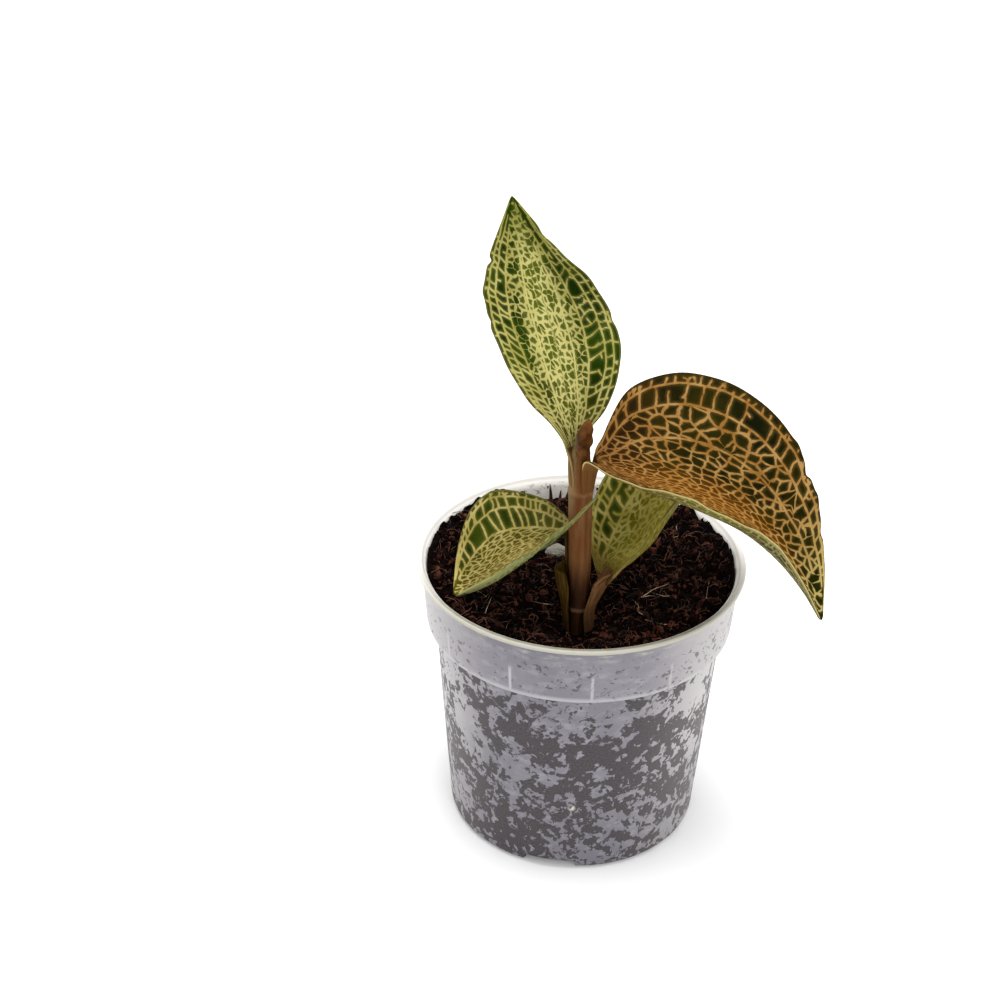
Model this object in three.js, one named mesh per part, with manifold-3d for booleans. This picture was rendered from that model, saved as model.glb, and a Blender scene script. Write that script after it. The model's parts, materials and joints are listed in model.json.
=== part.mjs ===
// Potted jewel orchid: a nursery pot with soil, one upright stem and four netted leaves.
// Millimetres, +Z up, pot axis on Z, pot underside at z = 0, front of the pot towards -Y.
import * as THREE from 'three';
import Module from 'manifold-3d';

const POT_HEIGHT = 54;
const POT_SEGMENTS = 96;
const LIP_RADIUS = 30;
const LIP_HEIGHT = 0.8;
const LIP_INNER_RADIUS = 28.9;
const COLLAR_TOP_RADIUS = 29;
const COLLAR_FOOT_RADIUS = 28;
const COLLAR_FOOT_Z = 41.6;
const WALL_TOP_RADIUS = 26.4;
const WALL_FOOT_RADIUS = 23;
const WALL = 0.8;
const FLOOR = 1.3;
const CORNER = 1.5;
const CLEARANCE = 0.3;

const NOTCH_ANGLES = [-9, 111, 231];
const NOTCH_HALF_ANGLE = 12;
const NOTCH_INNER_RADIUS = 16.5;
const NOTCH_HEIGHT = 2;
const POCKET_ROOF = 1.1;
const POCKET_MARGIN = 1.2;
const DRAIN_RADIUS = 1.5;

const RIB_COUNT = 12;
const RIB_PITCH = 30;
const RIB_FIRST = 6;
const RIB_WIDTH = 0.8;
const RIB_DEPTH = 0.7;
const RIB_TOP_Z = 47.5;

const SOIL_LEVEL = 51.8;
const SOIL_RINGS = 20;
const SOIL_SECTORS = 84;
const SOIL_LUMP = 0.45;
const SOIL_FOOT_DIP = 2.8;
// How far the soil is heaped up (or sunk) against the wall: angle from the front, height.
const SOIL_BANK = [
  [0, 0], [60, 0], [80, 0.6], [95, 1.2], [135, 1.2], [150, 0.4], [172, -2.4], [196, -2.4],
  [204, -0.6], [214, 1], [228, 1.3], [272, 1.3], [290, 0.5], [305, 0], [360, 0],
];
const SOIL_LOWEST_BANK = -2.4;
const SOIL_BANK_INNER = 20;
const SOIL_BANK_OUTER = 27;
const CHIP_COUNT = 14;
const CHIP_SEED = 11;

const STEM_SIDES = 18;
const STEM_BURIED_Z = 40;
const NODE_RING = 0.2;
const STEM_FOOT = [0, -16, 49.2];
const STEM_LEAN = [-0.022, 0.079];

const LEAF_THICKNESS = 0.7;
const BLADE_STEPS = 30;
const BLADE_HALF_STRIPS = 6;
const SHEATH_STEPS = 10;
const SHEATH_HALF_STRIPS = 2;

const wasm = await Module();
wasm.setup();

const vec = (x, y, z) => new THREE.Vector3(x, y, z);
const rad = THREE.MathUtils.degToRad;

// ---- closed meshes and Booleans ----

function toManifold(geometry) {
  const position = geometry.attributes.position;
  const index = geometry.index;
  const count = index ? index.count : position.count;
  const seen = new Map();
  const vertices = [];
  const triangles = [];
  for (let i = 0; i < count; i += 1) {
    const v = index ? index.getX(i) : i;
    const p = [position.getX(v), position.getY(v), position.getZ(v)];
    const key = p.map((c) => Math.round(c * 1e5)).join(',');
    if (!seen.has(key)) {
      seen.set(key, vertices.length / 3);
      vertices.push(...p);
    }
    triangles.push(seen.get(key));
  }
  const kept = [];
  for (let i = 0; i < triangles.length; i += 3) {
    const [a, b, c] = triangles.slice(i, i + 3);
    if (a !== b && b !== c && c !== a) {
      kept.push(a, b, c);
    }
  }
  return new wasm.Manifold(new wasm.Mesh({
    numProp: 3,
    vertProperties: new Float32Array(vertices),
    triVerts: new Uint32Array(kept),
  }));
}

function toGeometry(solid) {
  const mesh = solid.getMesh();
  const geometry = new THREE.BufferGeometry();
  const vertices = new Float32Array(mesh.vertProperties);
  geometry.setAttribute('position', new THREE.BufferAttribute(vertices, 3));
  geometry.setIndex(Array.from(mesh.triVerts));
  geometry.computeVertexNormals();
  return geometry;
}

const group = new THREE.Group();

function addNode(name, solid, colour, roughness) {
  const material = new THREE.MeshStandardMaterial({ color: colour, roughness, metalness: 0 });
  material.name = name;
  material.flatShading = true;
  const mesh = new THREE.Mesh(toGeometry(solid), material);
  mesh.name = name;
  group.add(mesh);
}

// A seeded draw between 0 and 1.
function seeded(seed) {
  let state = seed;
  return () => {
    state = (state * 16807) % 2147483647;
    return state / 2147483647;
  };
}

// ---- pot ----

const onPot = (degrees, radius, z) => vec(
  radius * Math.sin(rad(degrees)),
  -radius * Math.cos(rad(degrees)),
  z,
);

const wallRadius = (z) => THREE.MathUtils.lerp(
  WALL_FOOT_RADIUS,
  WALL_TOP_RADIUS,
  z / COLLAR_FOOT_Z,
);
const LIP_Z = POT_HEIGHT - LIP_HEIGHT;
const LEDGE_Z = COLLAR_FOOT_Z + WALL;
const collarRadius = (z) => THREE.MathUtils.lerp(
  COLLAR_FOOT_RADIUS,
  COLLAR_TOP_RADIUS,
  (z - COLLAR_FOOT_Z) / (LIP_Z - COLLAR_FOOT_Z),
);

function lathe(points, segments) {
  const turned = new THREE.LatheGeometry(points.map(([r, z]) => new THREE.Vector2(r, z)), segments);
  turned.rotateX(Math.PI / 2);
  return toManifold(turned);
}

// A sector of a ring between two radii, centred on an angle from the front.
function sector(degrees, half, inner, outer, z0, z1) {
  const middle = rad(degrees - 90);
  const shape = new THREE.Shape();
  shape.absarc(0, 0, outer, middle - rad(half), middle + rad(half), false);
  shape.absarc(0, 0, inner, middle + rad(half), middle - rad(half), true);
  shape.closePath();
  const block = new THREE.ExtrudeGeometry(shape, {
    depth: z1 - z0,
    bevelEnabled: false,
    curveSegments: 6,
  });
  block.translate(0, 0, z0);
  return toManifold(block);
}

function post(degrees, radius, drum, z0, z1) {
  const cylinder = new THREE.CylinderGeometry(drum, drum, z1 - z0, 20);
  cylinder.rotateX(Math.PI / 2);
  const at = onPot(degrees, radius, (z0 + z1) / 2);
  cylinder.translate(at.x, at.y, at.z);
  return toManifold(cylinder);
}

function rib(degrees, grow) {
  const height = RIB_TOP_Z - LEDGE_Z + WALL / 2 + grow;
  const depth = RIB_DEPTH + WALL + grow;
  const block = new THREE.BoxGeometry(RIB_WIDTH + 2 * grow, depth, height);
  const wall = collarRadius(LEDGE_Z) - WALL / 2;
  block.translate(0, -wall + depth / 2 - WALL / 4, LEDGE_Z - WALL / 2 + height / 2);
  block.rotateZ(rad(degrees));
  return toManifold(block);
}

const pocketTop = NOTCH_HEIGHT + POCKET_ROOF;
const ribAngles = Array.from({ length: RIB_COUNT }, (_, i) => RIB_FIRST + RIB_PITCH * i);

let pot = lathe([
  [0, 0],
  [WALL_FOOT_RADIUS - CORNER, 0],
  [WALL_FOOT_RADIUS - CORNER * 0.45, CORNER * 0.15],
  [WALL_FOOT_RADIUS - CORNER * 0.1, CORNER * 0.5],
  [wallRadius(CORNER), CORNER],
  [WALL_TOP_RADIUS, COLLAR_FOOT_Z],
  [COLLAR_FOOT_RADIUS - 0.3, COLLAR_FOOT_Z],
  [COLLAR_FOOT_RADIUS, COLLAR_FOOT_Z + 0.3],
  [COLLAR_TOP_RADIUS, LIP_Z],
  [LIP_RADIUS - 0.2, LIP_Z],
  [LIP_RADIUS, LIP_Z + 0.2],
  [LIP_RADIUS, POT_HEIGHT - 0.25],
  [LIP_RADIUS - 0.3, POT_HEIGHT],
  [LIP_INNER_RADIUS + 0.2, POT_HEIGHT],
  [LIP_INNER_RADIUS, POT_HEIGHT - 0.2],
  [COLLAR_TOP_RADIUS - WALL, LIP_Z - 0.2],
  [collarRadius(LEDGE_Z) - WALL, LEDGE_Z],
  [WALL_TOP_RADIUS - WALL, COLLAR_FOOT_Z - 0.6],
  [wallRadius(FLOOR + 1) - WALL, FLOOR + 1],
  [wallRadius(FLOOR) - WALL - 1, FLOOR],
  [0, FLOOR],
], POT_SEGMENTS);

const insideWall = (z) => wallRadius(z) - WALL / 2;
for (const angle of NOTCH_ANGLES) {
  const inner = NOTCH_INNER_RADIUS - POCKET_MARGIN;
  const half = NOTCH_HALF_ANGLE + 3;
  pot = pot.add(sector(angle, half, inner, insideWall(0), FLOOR / 2, pocketTop));
}
for (const angle of NOTCH_ANGLES) {
  pot = pot.subtract(sector(angle, NOTCH_HALF_ANGLE, NOTCH_INNER_RADIUS, LIP_RADIUS, -1, NOTCH_HEIGHT));
  pot = pot.subtract(post(angle, NOTCH_INNER_RADIUS + 2.6, DRAIN_RADIUS, -1, pocketTop + 1));
}
for (const angle of ribAngles) {
  pot = pot.add(rib(angle, 0));
}

// ---- stem ----

// Centre line of the stem with its radius; the last stretch is the shut bud at the shoot's tip.
const stemLine = [
  [vec(0.2, -16.4, STEM_BURIED_Z), 1.1],
  [vec(0.1, -16.2, 45), 1.6],
  [vec(0, -16, 49.2), 1.7],
  [vec(-0.1, -15.7, 53.2), 1.75],
  [vec(-0.1, -15.6, 53.9), 1.75 + NODE_RING],
  [vec(-0.1, -15.5, 54.6), 1.8],
  [vec(-0.3, -14.8, 64), 1.95],
  [vec(-0.6, -13.9, 75.7), 2.05],
  [vec(-0.6, -13.8, 76.6), 2.05 + NODE_RING],
  [vec(-0.6, -13.8, 77.3), 1.9],
  [vec(-0.6, -13.8, 77.6), 1.45],
  [vec(-0.7, -13.5, 81), 1.45],
  [vec(-0.75, -13.9, 84.6), 1.4],
  [vec(-0.35, -14.8, 87.6), 1.35],
  [vec(-0.1, -15.4, 90), 1],
  [vec(0.5, -15.7, 91.4), 0.4],
];

function stemSolid(line, grow) {
  const rings = line.map(([centre, radius], i) => {
    const before = line[Math.max(i - 1, 0)][0];
    const after = line[Math.min(i + 1, line.length - 1)][0];
    const along = vec(0, 0, 0).subVectors(after, before).normalize();
    const u = vec(0, 0, 0).crossVectors(vec(0, 1, 0), along).normalize();
    const v = vec(0, 0, 0).crossVectors(along, u);
    return Array.from({ length: STEM_SIDES }, (_, k) => {
      const turn = (2 * Math.PI * k) / STEM_SIDES;
      return centre.clone()
        .addScaledVector(u, (radius + grow) * Math.cos(turn))
        .addScaledVector(v, (radius + grow) * Math.sin(turn));
    });
  });
  const points = rings.flat();
  const triangles = [];
  const at = (ring, k) => ring * STEM_SIDES + (k % STEM_SIDES);
  for (let ring = 0; ring + 1 < rings.length; ring += 1) {
    for (let k = 0; k < STEM_SIDES; k += 1) {
      triangles.push(at(ring, k), at(ring, k + 1), at(ring + 1, k + 1));
      triangles.push(at(ring, k), at(ring + 1, k + 1), at(ring + 1, k));
    }
  }
  const foot = points.length;
  points.push(line[0][0].clone().add(vec(0, 0, -grow)));
  const tip = points.length;
  points.push(line[line.length - 1][0].clone());
  for (let k = 0; k < STEM_SIDES; k += 1) {
    triangles.push(foot, at(0, k + 1), at(0, k));
    triangles.push(tip, at(rings.length - 1, k), at(rings.length - 1, k + 1));
  }
  const geometry = new THREE.BufferGeometry().setFromPoints(points);
  geometry.setIndex(triangles);
  return toManifold(geometry);
}

const stem = stemSolid(stemLine, 0);

// ---- leaves ----

// A blade or sheath is lofted through stations. Each station holds a point on the midrib, one
// on the far margin and one on the near margin, from the foot to the tip.
function loft(stations, crease, wave, steps = BLADE_STEPS, halfStrips = BLADE_HALF_STRIPS) {
  const lines = [0, 1, 2].map((k) => new THREE.CatmullRomCurve3(
    stations.map((station) => vec(...station[k])),
    false,
    'catmullrom',
    0.5,
  ));
  const bow = (u) => (Math.hypot(u, crease) - crease) / (Math.hypot(1, crease) - crease);
  const flat = (s, t) => {
    const [rib, far, near] = lines.map((line) => line.getPoint(THREE.MathUtils.clamp(s, 0, 1)));
    const middle = vec(0, 0, 0).addVectors(far, near).multiplyScalar(0.5).sub(rib);
    return rib
      .addScaledVector(far.sub(near), t / 2)
      .addScaledVector(middle, bow(Math.abs(t)));
  };
  const normal = (s, t) => {
    const ds = flat(s + 0.004, t).sub(flat(s - 0.004, t));
    const dt = flat(s, t + 0.01).sub(flat(s, t - 0.01));
    return ds.cross(dt).normalize();
  };
  const across = 2 * halfStrips + 1;
  const points = [];
  for (const side of [1, -1]) {
    for (let i = 0; i <= steps; i += 1) {
      for (let j = 0; j < across; j += 1) {
        const s = i / steps;
        const t = j / halfStrips - 1;
        const lift = wave * Math.abs(t) ** 3 * Math.sin(Math.PI * s) * Math.sin(21 * s + 2 * t);
        points.push(flat(s, t).addScaledVector(normal(s, t), lift + (side * LEAF_THICKNESS) / 2));
      }
    }
  }
  const at = (side, i, j) => (side * (steps + 1) + i) * across + j;
  const triangles = [];
  const quad = (a, b, c, d) => triangles.push(a, b, c, a, c, d);
  for (let i = 0; i < steps; i += 1) {
    for (let j = 0; j + 1 < across; j += 1) {
      quad(at(0, i, j), at(0, i + 1, j), at(0, i + 1, j + 1), at(0, i, j + 1));
      const low = [at(1, i, j), at(1, i + 1, j), at(1, i + 1, j + 1), at(1, i, j + 1)];
      triangles.push(low[0], low[2], low[1], low[0], low[3], low[2]);
    }
    const last = across - 1;
    quad(at(0, i, 0), at(1, i, 0), at(1, i + 1, 0), at(0, i + 1, 0));
    quad(at(0, i, last), at(0, i + 1, last), at(1, i + 1, last), at(1, i, last));
  }
  for (let j = 0; j + 1 < across; j += 1) {
    quad(at(0, 0, j), at(0, 0, j + 1), at(1, 0, j + 1), at(1, 0, j));
    quad(at(0, steps, j), at(1, steps, j), at(1, steps, j + 1), at(0, steps, j + 1));
  }
  const geometry = new THREE.BufferGeometry().setFromPoints(points);
  geometry.setIndex(triangles);
  return toManifold(geometry);
}

// The stem's centre at a height, and a station of a sheath that clasps the stem there.
function stemCentre(z) {
  const rise = z - STEM_FOOT[2];
  return vec(STEM_FOOT[0] + STEM_LEAN[0] * rise, STEM_FOOT[1] + STEM_LEAN[1] * rise, z);
}

function clasp(z, facing, half, radius) {
  const centre = stemCentre(z);
  return [facing, facing + half, facing - half].map((degrees) => [
    centre.x + radius * Math.cos(rad(degrees)),
    centre.y + radius * Math.sin(rad(degrees)),
    z,
  ]);
}

const upperLeaf = loft([
  clasp(78.6, 140, 66, 2.15),
  clasp(81.6, 140, 66, 2.15),
  [[-2.4, -12.2, 84], [-3.2, -14.3, 84.6], [-1.1, -11.8, 84.6]],
  [[-2.5, -11.3, 87.1], [-5.5, -12.9, 87.9], [0.7, -12.1, 88.1]],
  [[-3.6, -9, 91.5], [-10.1, -11.5, 92.6], [3.7, -11.5, 92.9]],
  [[-5.1, -6, 97.2], [-14.4, -9.5, 99], [5.3, -9.5, 99.2]],
  [[-7, -3, 102.8], [-17.4, -6.5, 104.7], [4.3, -6.5, 104.4]],
  [[-9.2, -0.3, 108.6], [-18.2, -3.5, 110.2], [0.4, -3.5, 110.5]],
  [[-11.3, 2, 114.2], [-17.3, -0.5, 115.6], [-5.8, -0.5, 115.6]],
  [[-13.1, 4, 118.7], [-15.8, 3, 119.2], [-10.3, 3, 119]],
  [[-14.3, 5.6, 122.4], [-14.5, 5.5, 122.3], [-14, 5.5, 122.2]],
], 0.9, 0.25);

const rightLeaf = loft([
  clasp(77.9, -20, 66, 2.15),
  [[2.2, -13.7, 81.2], [1.4, -10.8, 81.8], [-0.3, -16.7, 83.6]],
  [[5.2, -13.5, 80.4], [3, -4.5, 82.5], [3.4, -21, 84.6]],
  [[10.4, -13.3, 78.6], [7.3, 1.5, 88.5], [9.2, -27, 86.2]],
  [[16.5, -13.2, 76.8], [16.4, 4.5, 90.6], [15.5, -30, 86.2]],
  [[22.9, -13.4, 74.4], [26.7, 4, 88], [21.9, -30, 83.6]],
  [[29, -14, 70.8], [35.1, -1, 83], [27.8, -28, 79.7]],
  [[34.5, -14.8, 65.7], [40.3, -7, 74.3], [33.7, -24, 72.6]],
  [[39.1, -15.8, 59.8], [42.5, -12.5, 63.6], [38.7, -20, 63.3]],
  [[42.6, -16.8, 53.9], [42.8, -16.5, 54.3], [42.3, -17.1, 54.5]],
], 0.35, 0.3);

const leftLeaf = loft([
  [[-3.4, -15.2, 68.8], [-1.6, -10.2, 67.6], [2.4, -19.2, 78.9]],
  [[-6.6, -15, 65.8], [-6.1, -6, 69.3], [-0.5, -21.5, 76.6]],
  [[-10.1, -15.2, 64.1], [-11.5, -2.5, 68.9], [-4.3, -23.5, 73.8]],
  [[-13.4, -15.2, 61.3], [-16.9, -1.5, 67.9], [-8.1, -23.5, 70.1]],
  [[-16.5, -14.8, 58.1], [-20.2, -4, 65.2], [-12.3, -21.5, 65.6]],
  [[-19.6, -14.2, 55.4], [-22, -9, 60.3], [-17.1, -18, 59.6]],
  [[-22.1, -13.7, 53.6], [-22.4, -13.3, 53.9], [-21.8, -14.1, 53.9]],
], 0.45, 0.2).add(loft([
  clasp(51, 120, 30, 2.7),
  clasp(58, 120, 30, 2.68),
  clasp(65, 124, 30, 2.7),
  clasp(68, 128, 34, 2.8),
], 0.9, 0, SHEATH_STEPS, SHEATH_HALF_STRIPS)).add(loft([
  clasp(49.6, 180, 48, 2.4),
  clasp(53.9, 180, 50, 2.75),
  [[-3.8, -15.3, 58], [-1.9, -17.2, 58.1], [-1.9, -13, 58.1]],
  [[-4.4, -15.1, 61.6], [-2.6, -17, 61.4], [-2.4, -12.6, 61.8]],
], 0.9, 0, SHEATH_STEPS, SHEATH_HALF_STRIPS));

const lowerLeaf = loft([
  [[4, -14, 57], [3.2, -12.6, 57.5], [4.8, -15.8, 58.9]],
  [[6.1, -11.4, 58.9], [1.8, -8.4, 60.4], [7.4, -16.6, 63.1]],
  [[9, -8.5, 60.2], [1.3, -4.7, 63.4], [9.8, -17.2, 66.6]],
  [[11.8, -5.8, 62.1], [2, -0.5, 67.2], [12, -15.5, 69.3]],
  [[14.3, -3.2, 65.4], [4.8, 5, 70.5], [14.4, -12.5, 72.1]],
  [[17.2, -0.5, 68.7], [10.6, 9, 73.9], [17.4, -8, 74.2]],
  [[20.8, 2, 71.5], [18.3, 8.5, 74.6], [21, -2.5, 75.1]],
  [[24.1, 3.5, 73.8], [23.7, 4.1, 74.1], [24.3, 2.9, 74.2]],
], 0.25, 0.2).add(loft([
  clasp(49.6, -15, 48, 2.5),
  clasp(53.9, -15, 54, 2.75),
  [[3.9, -15.2, 56.6], [2.8, -13, 57], [1.9, -17.2, 57.4]],
  [[4.9, -13.8, 58], [3.6, -12.2, 58.6], [2.7, -16.8, 59.8]],
  [[6.2, -12.2, 58.9], [4.6, -11, 59.6], [5.2, -15.6, 60.8]],
], 0.9, 0, SHEATH_STEPS, SHEATH_HALF_STRIPS));

// ---- soil and what lies on it ----

const GRAIN_CENTRE = vec(-4.4, 4.7, 51.9);
function grainSolid(grow) {
  const ball = new THREE.IcosahedronGeometry(1, 2);
  const position = ball.attributes.position;
  for (let i = 0; i < position.count; i += 1) {
    const p = vec(position.getX(i), position.getY(i), position.getZ(i));
    const knob = 1 + 0.07 * Math.sin(5 * p.x + 2) * Math.sin(4 * p.y) + 0.05 * Math.sin(6 * p.z + 1);
    position.setXYZ(i, p.x * (2.2 * knob + grow), p.y * (1.5 * knob + grow), p.z * (1.4 * knob + grow));
  }
  ball.translate(GRAIN_CENTRE.x, GRAIN_CENTRE.y, GRAIN_CENTRE.z);
  return toManifold(ball);
}

function bankHeight(x, y) {
  const angle = (THREE.MathUtils.radToDeg(Math.atan2(x, -y)) + 360) % 360;
  const next = SOIL_BANK.findIndex(([place]) => place > angle);
  const [from, low] = SOIL_BANK[next - 1];
  const [to, high] = SOIL_BANK[next];
  const near = THREE.MathUtils.smoothstep(Math.hypot(x, y), SOIL_BANK_INNER, SOIL_BANK_OUTER);
  return near * (low + ((high - low) * (angle - from)) / (to - from));
}

function soilHeight(x, y) {
  const lump = Math.sin(1.1 * x + 1.6 * Math.sin(0.7 * y)) * Math.sin(0.9 * y + Math.sin(0.8 * x));
  const roll = Math.sin(0.31 * x + 0.8) * Math.cos(0.27 * y);
  const fromStem = Math.hypot(x, y + 16);
  const still = THREE.MathUtils.smoothstep(fromStem, 3, 7);
  const dip = SOIL_FOOT_DIP * (1 - THREE.MathUtils.smoothstep(fromStem, 2, 13));
  return SOIL_LEVEL + still * (SOIL_LUMP * lump + 0.25 * roll) - dip + bankHeight(x, y);
}

function soilBody() {
  const sideProfile = [
    [wallRadius(FLOOR) - WALL - CLEARANCE - 1, FLOOR + CLEARANCE],
    [wallRadius(FLOOR + 1) - WALL - CLEARANCE, FLOOR + 1 + CLEARANCE],
    [WALL_TOP_RADIUS - WALL - CLEARANCE, COLLAR_FOOT_Z - 0.6],
    [collarRadius(LEDGE_Z) - WALL - CLEARANCE, LEDGE_Z + CLEARANCE],
  ];
  const rimRadius = collarRadius(SOIL_LEVEL + SOIL_LOWEST_BANK) - WALL - CLEARANCE - 0.1;
  const points = [vec(0, 0, FLOOR + CLEARANCE)];
  const turn = (k) => (2 * Math.PI * k) / SOIL_SECTORS;
  const addRing = (radius, height) => {
    for (let k = 0; k < SOIL_SECTORS; k += 1) {
      const x = radius * Math.cos(turn(k));
      const y = radius * Math.sin(turn(k));
      points.push(vec(x, y, height(x, y)));
    }
  };
  sideProfile.forEach(([radius, z]) => addRing(radius, () => z));
  for (let ring = 0; ring < SOIL_RINGS; ring += 1) {
    addRing(rimRadius * (1 - ring / SOIL_RINGS), soilHeight);
  }
  points.push(vec(0, 0, soilHeight(0, 0)));
  const rings = sideProfile.length + SOIL_RINGS;
  const at = (ring, k) => 1 + ring * SOIL_SECTORS + (k % SOIL_SECTORS);
  const triangles = [];
  for (let k = 0; k < SOIL_SECTORS; k += 1) {
    triangles.push(0, at(0, k + 1), at(0, k));
    for (let ring = 0; ring + 1 < rings; ring += 1) {
      triangles.push(at(ring, k), at(ring, k + 1), at(ring + 1, k + 1));
      triangles.push(at(ring, k), at(ring + 1, k + 1), at(ring + 1, k));
    }
    triangles.push(points.length - 1, at(rings - 1, k), at(rings - 1, k + 1));
  }
  const geometry = new THREE.BufferGeometry().setFromPoints(points);
  geometry.setIndex(triangles);
  return toManifold(geometry);
}

// A splinter of coir husk, rooted well inside the soil.
function chip(x, y, length, lean, turn) {
  const cone = new THREE.ConeGeometry(0.55, length + 2, 5);
  cone.rotateX(Math.PI / 2);
  cone.translate(0, 0, length / 2 - 1);
  cone.rotateX(lean);
  cone.rotateZ(turn);
  cone.translate(x, y, soilHeight(x, y));
  return toManifold(cone);
}

let soil = soilBody();
const draw = seeded(CHIP_SEED);
for (let i = 0; i < CHIP_COUNT; i += 1) {
  const at = onPot(115 + 10 * i + 8 * draw(), 15 + 9 * draw(), 0);
  soil = soil.add(chip(at.x, at.y, 1 + 1.2 * draw(), 0.3 + 0.5 * draw(), 6.3 * draw()));
}
soil = soil.add(chip(-5.6, 24.2, 4.2, 0.12, 1));
soil = soil.subtract(stemSolid(stemLine.slice(0, 4), CLEARANCE));
soil = soil.subtract(grainSolid(CLEARANCE));
for (const angle of NOTCH_ANGLES) {
  const inner = NOTCH_INNER_RADIUS - POCKET_MARGIN - CLEARANCE;
  const half = NOTCH_HALF_ANGLE + 4.2;
  soil = soil.subtract(sector(angle, half, inner, LIP_RADIUS, 0, pocketTop + CLEARANCE));
}
for (const angle of ribAngles) {
  soil = soil.subtract(rib(angle, CLEARANCE));
}

addNode('pot', pot, 0xb9b4bd, 0.4);
addNode('soil', soil, 0x2b1a14, 0.95);
addNode('perlite_grain', grainSolid(0), 0xd9d6cf, 0.9);
addNode('stem', stem, 0x7a4a36, 0.55);
addNode('leaf_upper', upperLeaf, 0x4f6b2a, 0.5);
addNode('leaf_right', rightLeaf, 0x5a4420, 0.5);
addNode('leaf_left', leftLeaf, 0x5d7a35, 0.5);
addNode('leaf_lower_right', lowerLeaf, 0x55702c, 0.5);

export default group;
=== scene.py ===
"""Potted jewel orchid: looks for the nursery pot, soil, stem and netted leaves.

Lengths in the tables are in millimetres and are turned into metres where a mesh is made.
"""

import json
import math
from collections import namedtuple

import bmesh
import bpy
import numpy as np
from mathutils import Matrix, Vector

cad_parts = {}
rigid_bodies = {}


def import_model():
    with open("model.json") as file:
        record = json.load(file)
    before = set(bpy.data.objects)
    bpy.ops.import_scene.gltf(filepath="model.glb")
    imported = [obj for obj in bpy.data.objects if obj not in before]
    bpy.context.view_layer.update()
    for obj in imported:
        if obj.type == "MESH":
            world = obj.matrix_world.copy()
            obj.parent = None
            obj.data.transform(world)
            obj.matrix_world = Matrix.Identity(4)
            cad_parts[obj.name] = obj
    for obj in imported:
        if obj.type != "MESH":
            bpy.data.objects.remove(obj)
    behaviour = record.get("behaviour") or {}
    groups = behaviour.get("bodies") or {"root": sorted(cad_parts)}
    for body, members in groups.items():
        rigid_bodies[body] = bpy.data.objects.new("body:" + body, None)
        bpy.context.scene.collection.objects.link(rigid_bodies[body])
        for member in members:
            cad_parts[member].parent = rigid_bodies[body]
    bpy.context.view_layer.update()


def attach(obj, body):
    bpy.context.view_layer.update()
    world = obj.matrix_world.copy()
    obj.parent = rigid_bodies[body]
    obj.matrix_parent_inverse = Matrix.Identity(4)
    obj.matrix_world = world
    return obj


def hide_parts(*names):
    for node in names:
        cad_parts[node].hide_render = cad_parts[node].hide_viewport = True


MM = 0.001
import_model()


# ---------------------------------------------------------------- shader and node helpers


class Term:
    """One socket of a node tree that Python arithmetic works on."""

    def __init__(self, tree, socket):
        self.tree, self.socket = tree, socket

    def math(self, operation, *others):
        return self.tree.math(operation, self, *others)

    def __add__(self, other):
        return self.math("ADD", other)

    def __sub__(self, other):
        return self.math("SUBTRACT", other)

    def __rsub__(self, other):
        return self.tree.math("SUBTRACT", other, self)

    def __mul__(self, other):
        return self.math("MULTIPLY", other)

    def __truediv__(self, other):
        return self.math("DIVIDE", other)

    def __rtruediv__(self, other):
        return self.tree.math("DIVIDE", other, self)

    def __pow__(self, other):
        return self.math("POWER", other)

    def __rpow__(self, other):
        return self.tree.math("POWER", other, self)

    __radd__, __rmul__ = __add__, __mul__

    def step(self, low, high):
        """Rises smoothly from 0 at low to 1 at high; low may be the larger."""
        falls = float(low > high)
        return self.tree.out(
            "ShaderNodeMapRange",
            {"interpolation_type": "SMOOTHSTEP"},
            Value=self,
            From_Min=min(low, high),
            From_Max=max(low, high),
            To_Min=falls,
            To_Max=1.0 - falls,
        )


class Tree:
    """A shader or geometry node tree with one method for nodes of any type."""

    def __init__(self, tree):
        self.tree, self.nodes = tree, tree.nodes

    def put(self, slot, value):
        if isinstance(value, Term):
            self.tree.links.new(value.socket, slot)
        elif value is not None:
            slot.default_value = value

    def node(self, kind, settings=None, **sockets):
        """Adds a node, sets its own settings, then its sockets by name or index."""
        made = self.nodes.new(kind)
        for key, value in (settings or {}).items():
            setattr(made, key, value)
        for key, value in sockets.items():
            number = key[1:]
            self.put(made.inputs[int(number) if number.isdigit() else key.replace("_", " ")], value)
        return made

    def out(self, kind, settings=None, pick=0, **sockets):
        return Term(self, self.node(kind, settings, **sockets).outputs[pick])

    def math(self, operation, *values):
        made = self.node("ShaderNodeMath", {"operation": operation})
        for slot, value in zip(made.inputs, values):
            self.put(slot, value)
        return Term(self, made.outputs[0])

    def shift(self, operation, first, second):
        """Adds or subtracts two vectors."""
        return self.out("ShaderNodeVectorMath", {"operation": operation}, i0=first, i1=second)

    def scaled(self, vector, size):
        return self.out("ShaderNodeVectorMath", {"operation": "SCALE"}, i0=vector, Scale=size)

    def parts(self, vector):
        return [Term(self, part) for part in self.node("ShaderNodeSeparateXYZ", i0=vector).outputs]

    def blend(self, factor, first, second):
        """Mixes two colours; each may be a Term or an (r, g, b) of linear light."""
        made = self.node("ShaderNodeMix", {"data_type": "RGBA", "clamp_factor": True}, i0=factor)
        for slot, value in ((made.inputs[6], first), (made.inputs[7], second)):
            self.put(slot, value if isinstance(value, Term) else (*value, 1.0))
        return Term(self, made.outputs[2])


def srgb(red, left_side_highlight, blue):
    """Linear light of a colour written as 0 to 255 screen values."""

    def linear(value):
        value /= 255
        return value / 12.92 if value <= 0.04045 else ((value + 0.055) / 1.055) ** 2.4

    return tuple(linear(value) for value in (red, left_side_highlight, blue))


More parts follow.
